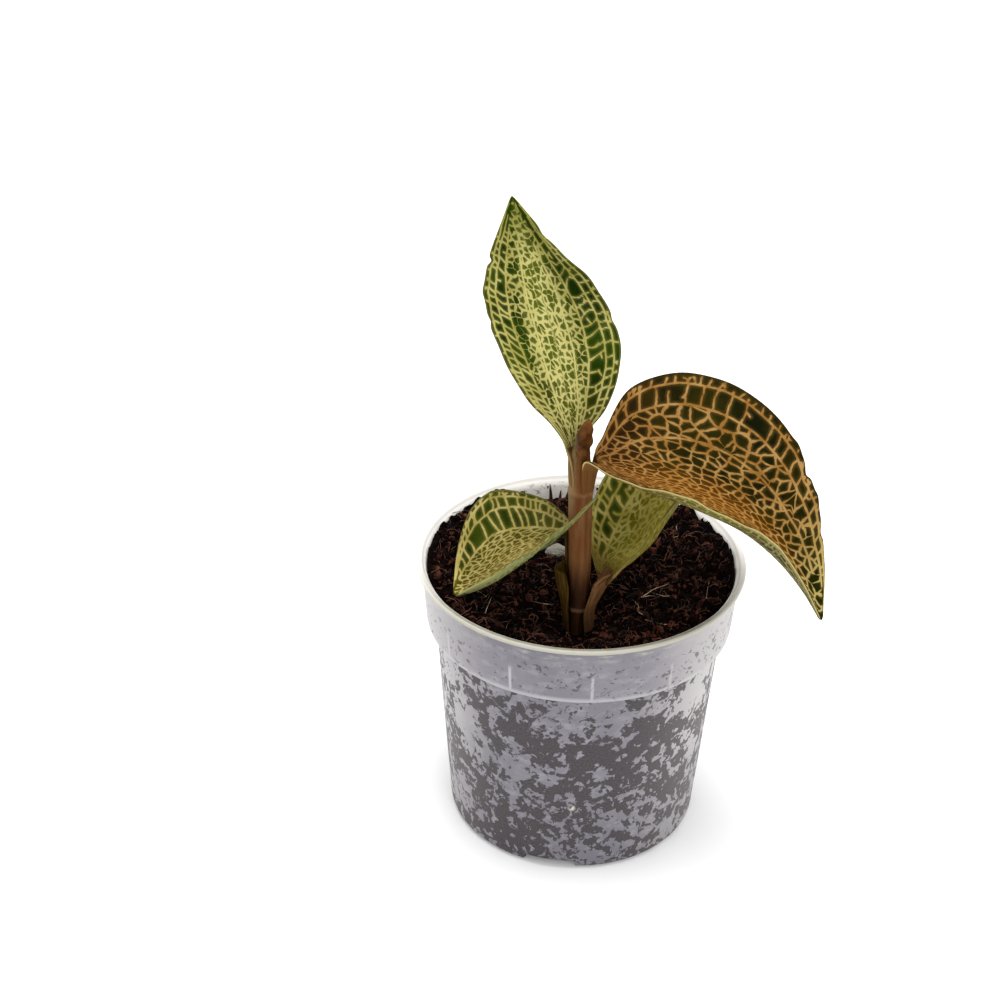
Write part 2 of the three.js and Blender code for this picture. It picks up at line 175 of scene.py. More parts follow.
class Finish(Tree):
    """A material made around one Principled shader."""

    def __init__(self, name, **fixed):
        self.material = bpy.data.materials.new(name)
        self.material.use_nodes = True
        super().__init__(self.material.node_tree)
        self.nodes.clear()
        self.shader = self.node("ShaderNodeBsdfPrincipled", **fixed)
        self.node("ShaderNodeOutputMaterial", Surface=Term(self, self.shader.outputs[0]))

    def place(self):
        """Object coordinates in millimetres, as a vector and its three parts."""
        place = self.scaled(self.out("ShaderNodeTexCoord", pick="Object"), 1 / MM)
        return place, self.parts(place)

    def noise(self, vector, scale, detail=4.0, rough=0.5, pick="Fac", bend=0.0):
        return self.out(
            "ShaderNodeTexNoise",
            pick=pick,
            Vector=vector,
            Scale=scale,
            Detail=detail,
            Roughness=rough,
            Distortion=bend,
        )

    def vector(self, x, y, z):
        return self.out("ShaderNodeCombineXYZ", X=x, Y=y, Z=z)

    def attribute(self, name):
        return self.out("ShaderNodeAttribute", {"attribute_name": name}, pick="Fac")

    def uv(self):
        return self.parts(self.out("ShaderNodeTexCoord", pick="UV"))[:2]

    def paint(self, colour, rough, height=None, strength=0.3, depth=0.2):
        """Feeds colour, roughness and a bump; depth is the bump's height in millimetres."""
        self.put(self.shader.inputs["Base Color"], colour)
        self.put(self.shader.inputs["Roughness"], rough)
        if height is not None:
            bump = self.out("ShaderNodeBump", Strength=strength, Distance=depth * MM, Height=height)
            self.put(self.shader.inputs["Normal"], bump)
        return self.material


# ---------------------------------------------------------------- mesh helpers


def link(name, data):
    """A new object that shows the data."""
    made = bpy.data.objects.new(name, data)
    bpy.context.collection.objects.link(made)
    return made


def drop(made):
    """Removes a helper object and its mesh."""
    data = made.data
    bpy.data.objects.remove(made)
    if data.users == 0:
        bpy.data.meshes.remove(data)


def settled(made, modifier):
    """The object's mesh with its modifier worked in; the modifier is taken off."""
    graph = bpy.context.evaluated_depsgraph_get()
    graph.update()
    mesh = bpy.data.meshes.new_from_object(made.evaluated_get(graph))
    made.modifiers.remove(modifier)
    return mesh


def add_mesh(name, points, faces, material=None, smooth=True, uv=None):
    """Makes a mesh object from points in metres; uv is one pair per point."""
    mesh = bpy.data.meshes.new(name)
    mesh.from_pydata([tuple(p) for p in points], [], [tuple(map(int, f)) for f in faces])
    mesh.update()
    if smooth:
        mesh.shade_smooth()
    if uv is not None:
        layer = mesh.uv_layers.new(name="UVMap")
        corner = np.empty(len(mesh.loops), dtype=np.int32)
        mesh.loops.foreach_get("vertex_index", corner)
        layer.data.foreach_set("uv", np.asarray(uv, dtype=np.float32)[corner].ravel())
    if material is not None:
        mesh.materials.append(material)
    return link(name, mesh)


def add_fields(made, **fields):
    """Stores one number or one vector per point under each name."""
    for name, values in fields.items():
        kind, key = ("FLOAT_VECTOR", "vector") if np.ndim(values) == 2 else ("FLOAT", "value")
        field = made.data.attributes.new(name, kind, "POINT")
        field.data.foreach_set(key, np.asarray(values, dtype=np.float32).ravel())


class Rule(Tree):
    """A geometry node tree with named inputs, applied once to an object."""

    def __init__(self, name):
        super().__init__(bpy.data.node_groups.new(name, "GeometryNodeTree"))
        for way in ("INPUT", "OUTPUT"):
            self.tree.interface.new_socket("Geometry", in_out=way, socket_type="NodeSocketGeometry")
        self.inputs = self.node("NodeGroupInput")
        self.output = self.node("NodeGroupOutput")
        self.ids = {}

    def ask(self, name, kind="NodeSocketFloat"):
        made = self.tree.interface.new_socket(name, in_out="INPUT", socket_type=kind)
        self.ids[name] = made.identifier
        return Term(self, self.inputs.outputs[name])

    def geometry(self):
        return Term(self, self.inputs.outputs["Geometry"])

    def vary(self, low, high, seed):
        """A random vector for each scattered piece."""
        kind = {"data_type": "FLOAT_VECTOR"}
        return self.out("FunctionNodeRandomValue", kind, Min=low, Max=high, Seed=seed)

    def roll(self, seed):
        """A random number from 0 to 1 for each scattered piece."""
        return self.out("FunctionNodeRandomValue", {"data_type": "FLOAT"}, 1, Seed=seed)

    def scatter(self, density, seed, piece, pose, scale):
        """Copies of a piece spread over the surface that the rule is run on."""
        base = self.geometry()
        kind = "GeometryNodeDistributePointsOnFaces"
        spread = self.out(kind, None, "Points", Mesh=base, Density=density, Seed=seed)
        kind = "GeometryNodeInstanceOnPoints"
        placed = self.out(kind, Points=spread, Instance=piece, Rotation=pose, Scale=scale)
        return self.out("GeometryNodeRealizeInstances", Geometry=placed)

    def stir(self, shape, scale, centre, reach):
        """Moves every point by a smooth noise, so that no two pieces are alike."""
        where = self.out("GeometryNodeInputPosition")
        noise = self.out("ShaderNodeTexNoise", pick="Color", Vector=where, Scale=scale, Detail=1.0)
        push = self.scaled(self.shift("SUBTRACT", noise, centre), reach)
        return self.out("GeometryNodeSetPosition", Geometry=shape, Offset=push)

    def end(self, geometry, material):
        """Closes the tree: instances realized and the material set."""
        real = self.out("GeometryNodeRealizeInstances", Geometry=geometry)
        kept = self.out("GeometryNodeSetMaterial", Geometry=real, Material=material)
        self.put(self.output.inputs[0], kept)

    def run(self, base, name, **values):
        """Gives the evaluated result of the tree on base as a plain mesh object."""
        modifier = base.modifiers.new("rule", "NODES")
        modifier.node_group = self.tree
        for key, value in values.items():
            modifier[self.ids[key.replace("_", " ")]] = value
        return link(name, settled(base, modifier))


def turns(count):
    """Equal steps round a circle, in radians."""
    return 2 * np.pi * np.arange(count) / count


def quads(grid):
    """Faces between the neighbours on a grid of point numbers."""
    corners = [grid[:-1, :-1], grid[1:, :-1], grid[1:, 1:], grid[:-1, 1:]]
    return np.stack(corners, -1).reshape(-1, 4)


def tube(line, radius, sides, lead):
    """Points and faces of a closed tube round a line; radius varies by ring and by side.

    lead is a direction that the line never takes: the rings are turned by it.
    """
    along = np.gradient(line, axis=0)
    along /= np.linalg.norm(along, axis=1)[:, None]
    u = np.cross(lead, along)
    u /= np.linalg.norm(u, axis=1)[:, None]
    v = np.cross(along, u)
    turn = turns(sides)[None, :, None]
    ring = np.cos(turn) * u[:, None] + np.sin(turn) * v[:, None]
    points = line[:, None] + radius[..., None] * ring
    last = len(line) - 1
    faces = []
    for a in range(0, last * sides, sides):
        for k in range(sides):
            after = (k + 1) % sides
            faces.append((a + k, a + after, a + sides + after, a + sides + k))
    faces.append(tuple(range(sides - 1, -1, -1)))
    faces.append(tuple(last * sides + k for k in range(sides)))
    return points.reshape(-1, 3), faces


def lattice_noise(x, y, size, seed):
    """Smooth value noise between -1 and 1 on a square lattice of the given size."""
    rng = np.random.default_rng(seed)
    table = rng.uniform(-1, 1, (128, 128))
    u, v = x / size + 40.3, y / size + 52.7
    i, j = np.floor(u).astype(int), np.floor(v).astype(int)
    fu, fv = u - i, v - j
    fu, fv = fu * fu * (3 - 2 * fu), fv * fv * (3 - 2 * fv)
    a, b = table[i % 128, j % 128], table[(i + 1) % 128, j % 128]
    c, d = table[i % 128, (j + 1) % 128], table[(i + 1) % 128, (j + 1) % 128]
    return (a * (1 - fu) + b * fu) * (1 - fv) + (c * (1 - fu) + d * fu) * fv


def smoothstep(value, low, high):
    u = np.clip((value - low) / (high - low), 0, 1)
    return u * u * (3 - 2 * u)


# ---------------------------------------------------------------- finishes

SKY, KEY, FILL = 1.25, 5.0, 2.0
COLLAR_STEP_Z, WALL_RADIUS = 41.6, 25.0
RIB_FIRST, RIB_PITCH = 6.0, 30.0
# Places on the wall with more or less soil behind them: angle from the front in radians,
# height, size and how much more.
WALL_PATCHES = (
    (-0.87, 26.0, 9.0, -0.13), (-0.43, 23.0, 8.0, -0.12), (0.0, 38.0, 11.0, -0.07),
    (0.75, 37.0, 9.0, -0.01), (0.22, 25.0, 12.0, 0.045), (-0.35, 31.0, 7.0, 0.06),
    (-0.5, 9.0, 11.0, 0.06), (0.3, 9.0, 5.0, -0.06), (0.85, 14.0, 9.0, 0.05),
)


def pot_finish():
    """Thin frosted plastic with damp soil showing through in jagged patches, with painted
    highlights on the wall's sides and along the lip's edges.
    """
    mat = Finish("frosted_pot", Specular_IOR_Level=0.16)
    place, (x, y, z) = mat.place()
    angle = x.math("ARCTAN2", -1 * y)
    along = angle * WALL_RADIUS
    around = mat.vector(along, z, 0.0)
    radius = (x * x + y * y) ** 0.5
    turned = angle.math("ABSOLUTE")

    def near(turn, height, size):
        across, up = (angle - turn) * WALL_RADIUS, z - height
        return ((across * across + up * up) ** 0.5).step(size, 0.0)

    # Where soil touches the wall: jagged islands, denser towards the foot.
    broad = mat.noise(around, 0.1, 2.0, 0.5)
    island = mat.noise(around, 0.32, 3.0, 0.55, bend=0.9)
    fine = mat.noise(around, 1.05, 2.0, 0.5, bend=0.6)
    level = island * 0.58 + fine * 0.26 + broad * 0.3 + z.step(39.0, 27.0) * 0.075
    level = level - z.step(17.0, 8.0) * 0.02 + turned.step(1.3, 0.5) * 0.02
    for turn, height, size, more in WALL_PATCHES:
        level = level + near(turn, height, size) * more
    spots = mat.noise(around, 0.55, 2.0, 0.5, bend=0.7).step(0.54, 0.6) * z.step(30.0, 22.0)
    contact = (level - spots * 0.12).step(0.596, 0.626) * z.step(42.2, 40.8)
    specks = mat.noise(around, 0.95, 2.0, 0.55, bend=0.6) + (broad - 0.5) * 0.4
    upper = specks.step(0.6, 0.65) * z.step(52.5, 48.0) * z.step(32.0, 38.0)
    mask = contact.math("MAXIMUM", upper * 0.75)
    shade = mat.noise(around, 0.06, 2.0, 0.5)
    # Painted highlight: the wall is painted lighter towards its left and right edges as seen from
    # the front.
    side = (angle + 0.1).math("ABSOLUTE").step(0.35, 1.3)
    light = mat.blend(shade.step(0.3, 0.7), srgb(112, 109, 117), srgb(126, 122, 129))
    light = mat.blend(side, light, srgb(182, 178, 178))
    light = mat.blend(z.step(30.0, 10.0) * 0.45, light, srgb(104, 101, 108))
    haze = mat.noise(mat.vector(along, z * 1.6, 0.0), 0.28, 4.0, 0.65)
    light = mat.blend(haze.step(0.45, 0.75) * 0.35, light, srgb(168, 168, 170))
    smear = mat.noise(mat.vector(along, z * 3.5, 0.0), 0.35, 3.0, 0.6)
    smear = smear.step(0.5, 0.72) * z.step(49.8, 52.8)
    light = mat.blend(smear * 0.55, light, srgb(184, 186, 168))
    grain = mat.noise(around, 3.0, 3.0, 0.7)
    dark = mat.blend(grain.step(0.35, 0.65), srgb(58, 53, 55), srgb(76, 71, 74))
    # Painted highlight: the soil patches are also painted lighter towards the wall's left and right
    # edges, at half strength.
    dark = mat.blend(side * 0.5, dark, srgb(112, 106, 108))
    colour = mat.blend(mask, light, dark)
    # The step under the collar and the inner ribs are thicker and look paler.
    ledge = (z - (COLLAR_STEP_Z + 0.4)).math("ABSOLUTE").step(1.0, 0.1) * 0.8
    turn = angle * (180 / math.pi) - RIB_FIRST + RIB_PITCH / 2 + 360.0
    turn = turn.math("MODULO", RIB_PITCH) - RIB_PITCH / 2
    rib = turn.math("ABSOLUTE").step(0.75, 0.3) * z.step(41.4, 42.2) * z.step(48.0, 46.9)
    pale = ledge.math("MAXIMUM", rib * (shade.step(0.3, 0.7) * 0.6 + 0.5)) * 0.7
    colour = mat.blend(pale, colour, srgb(182, 179, 182))
    lip = z.step(52.9, 53.4)
    stain = mat.noise(place, 0.5, 3.0, 0.6).step(0.45, 0.7)
    cream = mat.blend(stain * 0.6, srgb(132, 129, 118), srgb(112, 110, 86))
    # Painted highlight along the lip's inner and outer edges.
    lip_edge_highlight = (radius - 29.4).math("ABSOLUTE").step(0.2, 0.42)
    cream = mat.blend(lip_edge_highlight * 0.55, cream, srgb(196, 193, 180))
    cream = mat.blend(turned.step(0.7, 1.8), cream, srgb(226, 223, 218))
    colour = mat.blend(lip, colour, cream)
    inner = (radius - (z - COLLAR_STEP_Z) * 0.0862).step(27.75, 27.5) * z.step(41.0, 43.0)
    dirt = mat.noise(around, 0.9, 3.0, 0.6, bend=0.6).step(0.58, 0.66) * z.step(54.0, 51.5)
    wall = mat.blend(dirt * 0.7, srgb(248, 244, 238), srgb(140, 116, 100))
    colour = mat.blend(inner, colour, wall)
    fleck = near(0.01, 15.3, 1.0) * fine.step(0.4, 0.55)
    colour = mat.blend(fleck, colour, srgb(206, 202, 186))
    dust = mat.noise(place, 0.9, 3.0, 0.6)
    rough = 0.36 + mask * 0.08 + dust * 0.14
    height = mat.noise(place, 2.2, 3.0, 0.6) * 0.6 + mask * 0.25
    return mat.paint(colour, rough, height, strength=0.15, depth=0.08)


def soil_finish(name, low, high, spread=0.8):
    """Damp coir crumbs: near-black to red-brown."""
    mat = Finish(name, Specular_IOR_Level=0.02)
    place, _ = mat.place()
    broad = mat.noise(place, spread, 3.0, 0.6)
    fine = mat.noise(place, 4.0, 4.0, 0.7)
    patch = mat.noise(place, 0.13, 2.0, 0.5).step(0.36, 0.6)
    tone = (broad * 0.6 + fine * 0.4).step(0.4, 0.66) * (patch * 0.8 + 0.2)
    colour = mat.blend(tone, low, high)
    return mat.paint(colour, fine * 0.3 + 0.55, fine, strength=0.6, depth=0.25)


def fibre_finish(name, first, second):
    """Dry strands in two tones."""
    mat = Finish(name, Specular_IOR_Level=0.15)
    place, _ = mat.place()
    tone = mat.noise(place, 0.45, 2.0, 0.5).step(0.38, 0.62)
    colour = mat.blend(tone, first, second)
    return mat.paint(colour, 0.45 + tone * 0.2, mat.noise(place, 6.0), strength=0.3, depth=0.05)


def perlite_finish():
    """Pale pitted mineral, stained by the soil."""
    mat = Finish("perlite_chalk", Specular_IOR_Level=0.2)
    place, _ = mat.place()
    pits = mat.out("ShaderNodeTexVoronoi", pick="Distance", Vector=place, Scale=2.6)
    stain = mat.noise(place, 1.2, 4.0, 0.6)
    colour = mat.blend(stain.step(0.5, 0.75) * 0.55, srgb(134, 130, 120), srgb(84, 70, 56))
    return mat.paint(colour, 0.8 + stain * 0.15, pits, strength=0.6, depth=0.3)


def stem_finish():
    """Red-brown skin, darker at the foot, with faint long streaks, pale scars and a painted
    highlight on the upper left side.
    """
    glow = {"Subsurface_Weight": 0.04, "Subsurface_Scale": 0.0012}
    mat = Finish("stem_skin", Specular_IOR_Level=0.07, **glow)
    place, (x, y, z) = mat.place()
    streak = mat.noise(mat.vector(x, y, z * 0.12), 0.9, 3.0, 0.5)
    blotch = mat.noise(place, 0.4, 3.0, 0.55)
    brown = mat.blend(streak.step(0.25, 0.75), srgb(86, 51, 20), srgb(110, 74, 42))
    brown = mat.blend(blotch.step(0.45, 0.7) * 0.6, brown, srgb(98, 52, 22))
    low = mat.blend(streak.step(0.35, 0.65), srgb(20, 7, 0), srgb(42, 22, 9))
    colour = mat.blend(z.step(66.0, 57.0), brown, low)
    top = mat.blend(blotch.step(0.35, 0.65), srgb(54, 28, 6), srgb(92, 56, 22))
    colour = mat.blend(z.step(79.5, 83.0), colour, top)
    # Painted highlight: the upper stem's left side is painted a pale green-brown.
    left_side_highlight = x.step(-1.2, -2.0) * z.step(70.0, 76.5)
    colour = mat.blend(left_side_highlight * 0.5, colour, srgb(128, 112, 78))
    ring = (z - 76.7).math("ABSOLUTE").step(0.7, 0.1)
    ring = ring.math("MAXIMUM", (z - 53.9).math("ABSOLUTE").step(0.6, 0.1))
    colour = mat.blend(ring * 0.3, colour, srgb(140, 102, 74))
    speck = mat.noise(place, 3.2, 2.0, 0.5)
    return mat.paint(colour, 0.42 + speck * 0.2, streak * 0.5 + speck * 0.5, 0.25, 0.1)


def leaf_finish(name, look):
    """Velvet blade: dark cells between a net of pale veins, with a paler underside.

    The blade carries its own fields: main is the distance to the nearest large vein, cells
    is a place counted in cells of the small net, zone is how far inside the small net's
    part a place lies, room is the half blade's width there, and petiole is 1 on the sheath.
    """
    mat = Finish(name, Specular_IOR_Level=0.02, Subsurface_Weight=0.04, Subsurface_Scale=0.0008)
    place, (_, _, height) = mat.place()
    along, across = mat.uv()
    edge = (across * 2.0 - 1.0).math("ABSOLUTE")
    room = mat.attribute("room") * (1 / MM)
    slim = (room * (1 / look["full_room"])).math("MINIMUM", 1.0).math("MAXIMUM", 0.28)
    # Large veins: a distance in millimetres, roughened so that no line is ruled.
    rough_line = mat.noise(place, 1.5, 2.0, 0.5) - 0.5
    swell = mat.noise(place, 0.35, 2.0, 0.5)
    main = mat.attribute("main") * (1 / MM) + rough_line * 0.16
    wide = slim * (swell * 0.5 + 0.75) * look["wide"]
    soft = look["soft"]
    rib = (main / wide).step(1.0 + soft, 1.0 - soft)
    # Small net: edges of irregular cells, bent by noise and broken where it runs thin.
    cells = mat.out("ShaderNodeAttribute", {"attribute_name": "cells"}, "Vector")
    bend = mat.noise(cells, 0.9, 2.0, 0.5, "Color")
    bend = mat.scaled(mat.shift("SUBTRACT", bend, (0.5, 0.5, 0.5)), look["bend"])
    bent = mat.shift("ADD", cells, bend)
    web = mat.out(
        "ShaderNodeTexVoronoi",
        {"voronoi_dimensions": "2D", "feature": "DISTANCE_TO_EDGE"},
        "Distance",
        Vector=bent,
        Scale=1.0,
        Randomness=look["random"],
    )
    breaks = mat.noise(cells, look["break_scale"], 2.0, 0.5)
    breaks = breaks.step(look["breaks"], look["breaks"] + 0.22)
    broad = mat.noise(cells, 0.22, 2.0, 0.5)
    thin = look["thin"] * (1.0 + edge * look["thin_out"]) * (breaks * 0.9 + 0.1)
    thin = thin * (broad * look["blotch"] + (1.0 - 0.5 * look["blotch"]))
    zone = mat.attribute("zone").step(-0.12 * MM, 0.12 * MM)
    hair = (web / thin).step(1.0 + soft, 1.0 - soft) * zone
    vein = rib.math("MAXIMUM", hair * look["hair"])
    # Cell colours: by patches, towards the midrib, the foot and the tip.
    shade = mat.noise(place, look["patch"], 3.0, 0.55)
    cell = mat.blend(shade.step(0.35, 0.65), look["cell_dark"], look["cell_light"])
    net = mat.blend(swell.step(0.35, 0.65), look["net_dark"], look["net_light"])
    inner = edge.step(look["inner"], 0.04)
    foot, tip = along.step(*look["foot"]), along.step(*look["tip"])
    for part, mask, net_mask in (
        ("inner", inner, inner * look["inner_net"]), ("foot", foot, foot), ("tip", tip, tip)
    ):
        cell = mat.blend(mask * look[part + "_mix"], cell, look["cell_" + part])
        net = mat.blend(net_mask, net, look["net_" + part])
    glow = (main / wide).step(4.0, 1.0).math("MAXIMUM", (web / thin).step(3.2, 1.0) * zone)
    cell = mat.blend(glow * look["glow"], cell, net)
    speck = mat.noise(place, 5.0, 2.0, 0.6)
    net = mat.blend(speck.step(0.45, 0.8) * 0.3, net, look["net_dark"])
    face = mat.blend(vein, cell, net)
    rim = edge.step(look["rim_at"], look["rim_at"] + 0.015)
    face = mat.blend(rim * look["rim_mix"], face, look["rim"])
    back = mat.blend(shade.step(0.35, 0.65), look["back_dark"], look["back_light"])
    back = mat.blend(vein * look["back_net"], back, look["back_vein"])
    hem = edge.step(0.955, 0.975)
    back = mat.blend(foot * look["back_foot"], back, look["petiole_light"])
    back = mat.blend(hem * look["back_hem"], back, look["back_vein"])
    upper = mat.attribute("upper").step(0.35, 0.65)
    colour = mat.blend(upper, back, face)
    streak = mat.noise(mat.vector(along * 3.0, across * 34.0, 0.0), 1.0, 3.0, 0.6)
    husk = mat.blend(streak.step(0.35, 0.65), look["petiole_dark"], look["petiole_light"])
    husk = mat.blend(height.step(60.0, 50.5) * 0.75, husk, srgb(34, 20, 8))
    colour = mat.blend(mat.attribute("petiole").step(0.2, 0.8), colour, husk)
    rough = 0.5 + speck * 0.16 - vein * 0.08
    relief = (1 - vein) * 0.7 + speck * 0.3
    return mat.paint(colour, rough, relief, strength=0.4, depth=0.12)


GREEN = {
    "full_room": 5.0,
    "thin_out": 0.0,
    "random": 0.9,
    "break_scale": 0.8,
    "breaks": 0.3,
    "blotch": 0.6,
    "hair": 0.92,
    "soft": 0.3,
    "patch": 0.12,
    "inner_net": 0.5,
    "foot": (0.3, 0.1),
    "foot_mix": 0.5,
    "glow": 0.16,
    "tip": (0.8, 1.0),
    "tip_mix": 0.6,
    "rim_at": 0.965,
    "rim_mix": 0.7,
    "cell_tip": srgb(48, 64, 8),
    "back_dark": srgb(84, 96, 46),
    "back_light": srgb(128, 134, 82),
    "back_vein": srgb(170, 168, 106),
    "back_net": 0.5,
    "back_hem": 0.3,
    "back_foot": 0.6,
    "petiole_dark": srgb(84, 62, 24),
    "petiole_light": srgb(138, 112, 72),
}

UPPER = dict(
    GREEN,
    wide=0.165,
    inner=0.6,
    inner_mix=0.45,
    inner_net=0.8,
    thin=0.205,
    thin_out=-0.35,
    blotch=1.0,
    bend=0.9,
    breaks=0.34,
    break_scale=0.5,
    foot=(0.5, 0.24),
    foot_mix=0.8,
    tip=(0.72, 0.95),
    rim_at=0.972,
    cell_dark=srgb(14, 32, 0),
    cell_light=srgb(34, 52, 2),
    cell_inner=srgb(102, 108, 32),
    cell_foot=srgb(56, 42, 6),
    cell_tip=srgb(30, 46, 0),
    net_dark=srgb(134, 128, 62),
    net_light=srgb(160, 153, 88),
    net_inner=srgb(186, 179, 114),
    net_foot=srgb(144, 138, 82),
    net_tip=srgb(118, 114, 52),
    rim=srgb(92, 88, 42),
)
RIGHT = dict(
    GREEN,
    full_room=7.0,
    wide=0.195,
    thin=0.128,
    thin_out=-0.3,
    bend=0.6,
    breaks=0.28,
    break_scale=0.6,
    blotch=0.4,
    inner=0.34,
    inner_mix=0.85,
    inner_net=0.7,
    foot=(0.5, 0.12),
    foot_mix=0.7,
    glow=0.14,
    tip=(0.72, 1.0),
    rim_mix=0.5,
    cell_dark=srgb(10, 14, 0),
    cell_light=srgb(34, 30, 0),
    cell_inner=srgb(88, 50, 4),
    cell_foot=srgb(54, 26, 2),
    cell_tip=srgb(20, 28, 0),
    net_dark=srgb(124, 86, 36),
    net_light=srgb(152, 118, 66),
    net_inner=srgb(148, 104, 46),
    net_foot=srgb(132, 92, 46),
    net_tip=srgb(172, 156, 92),
    rim=srgb(40, 28, 2),
    back_dark=srgb(50, 50, 6),
    back_light=srgb(90, 86, 34),
    back_vein=srgb(180, 166, 108),
    back_net=0.45,
    back_hem=0.85,
    back_foot=0.9,
    petiole_dark=srgb(90, 56, 22),
    petiole_light=srgb(112, 76, 42),
)
LEFT = dict(
    GREEN,
    full_room=4.0,
    wide=0.19,
    thin=0.16,
    bend=0.5,
    inner=0.66,
    inner_mix=0.6,
    cell_dark=srgb(22, 36, 0),
    cell_light=srgb(48, 58, 4),
    cell_inner=srgb(92, 72, 20),
    cell_foot=srgb(66, 56, 12),
    cell_tip=srgb(92, 84, 16),
    net_dark=srgb(132, 120, 60),
    net_light=srgb(158, 144, 86),
    net_inner=srgb(150, 136, 82),
    net_foot=srgb(128, 118, 66),
    net_tip=srgb(184, 168, 102),
    rim=srgb(96, 96, 44),
    rim_at=0.97,
    back_dark=srgb(66, 74, 32),
    back_light=srgb(104, 108, 60),
    back_vein=srgb(150, 150, 100),
    back_foot=0.0,
    petiole_dark=srgb(40, 26, 6),
    petiole_light=srgb(74, 56, 20),
)
LOWER = dict(
    GREEN,
    full_room=4.5,
    wide=0.24,
    soft=0.5,
    thin=0.2,
    bend=0.8,
    break_scale=0.6,
    blotch=0.9,
    inner=0.75,
    inner_mix=0.85,
    glow=0.2,
    cell_dark=srgb(14, 34, 0),
    cell_light=srgb(40, 54, 0),
    cell_inner=srgb(136, 127, 24),
    cell_foot=srgb(62, 50, 6),
    net_dark=srgb(130, 120, 50),
    net_light=srgb(160, 148, 82),
    net_inner=srgb(190, 179, 98),
    net_foot=srgb(106, 90, 38),
    net_tip=srgb(146, 138, 66),
    rim=srgb(122, 114, 56),
    rim_mix=0.8,
    back_dark=srgb(76, 72, 8),
    back_light=srgb(104, 96, 24),
    back_vein=srgb(140, 126, 60),
    back_net=0.8,
    petiole_dark=srgb(74, 48, 22),
    petiole_light=srgb(116, 84, 54),
)


# ---------------------------------------------------------------- pot

NOTCH_ANGLES = (-9.0, 111.0, 231.0)
NOTCH_HALF, NOTCH_HEIGHT, POCKET_TOP = 12.0, 2.0, 3.1
RIB_COUNT, RIB_DEPTH, RIB_LOW, RIB_HIGH = 12, 0.65, 42.5, 47.5
# A drain hole's radius, distance from the axis, sides, and the heights it is cut between.
DRAIN_RADIUS, DRAIN_PLACE, DRAIN_SIDES, DRAIN_SPAN = 1.5, 19.1, 32, (1.0, 4.2)


def pot_profile():
    """Outline of the turned pot from the underside's centre round to the floor's centre."""
    return [
        (0, 0), (8, 0), (14, 0), (15.2, 0), (15.8, 0), (16.5, 0), (17.2, 0), (19, 0), (21.5, 0),
        (22.1, 0.12), (22.55, 0.38), (22.85, 0.75), (23.05, 1.2), (23.12, 1.5), (23.18, 2.0),
        (23.2, 2.5), (23.3, 4), (23.9, 11), (24.8, 22), (25.6, 32), (26.25, 40), (26.36, 41.2),
        (26.42, 41.5), (26.6, 41.6), (27.5, 41.6), (27.8, 41.66), (27.95, 41.8), (28.02, 42.1),
        (28.08, 42.6), (28.4, 46), (28.75, 50), (28.96, 52.7), (29.02, 53.1), (29.15, 53.2),
        (29.75, 53.2), (29.93, 53.28), (30, 53.45), (30, 53.75), (29.92, 53.93), (29.75, 54),
        (29.15, 54), (28.98, 53.93), (28.9, 53.78), (28.6, 53.3), (28.25, 52.9), (28.1, 52),
        (27.75, 48), (27.4, 44), (27.25, 42.8), (27.1, 42.45), (26.5, 42.2), (25.8, 41.6),
        (25.55, 40.6), (25.0, 33), (24.2, 24), (23.4, 14), (22.6, 5), (22.4, 3.2), (22.3, 2.6),
        (21.9, 1.8), (21.2, 1.4), (20, 1.3), (17.5, 1.3), (16, 1.3), (15.3, 1.3), (14.6, 1.3),
        (10, 1.3), (0, 1.3),
    ]


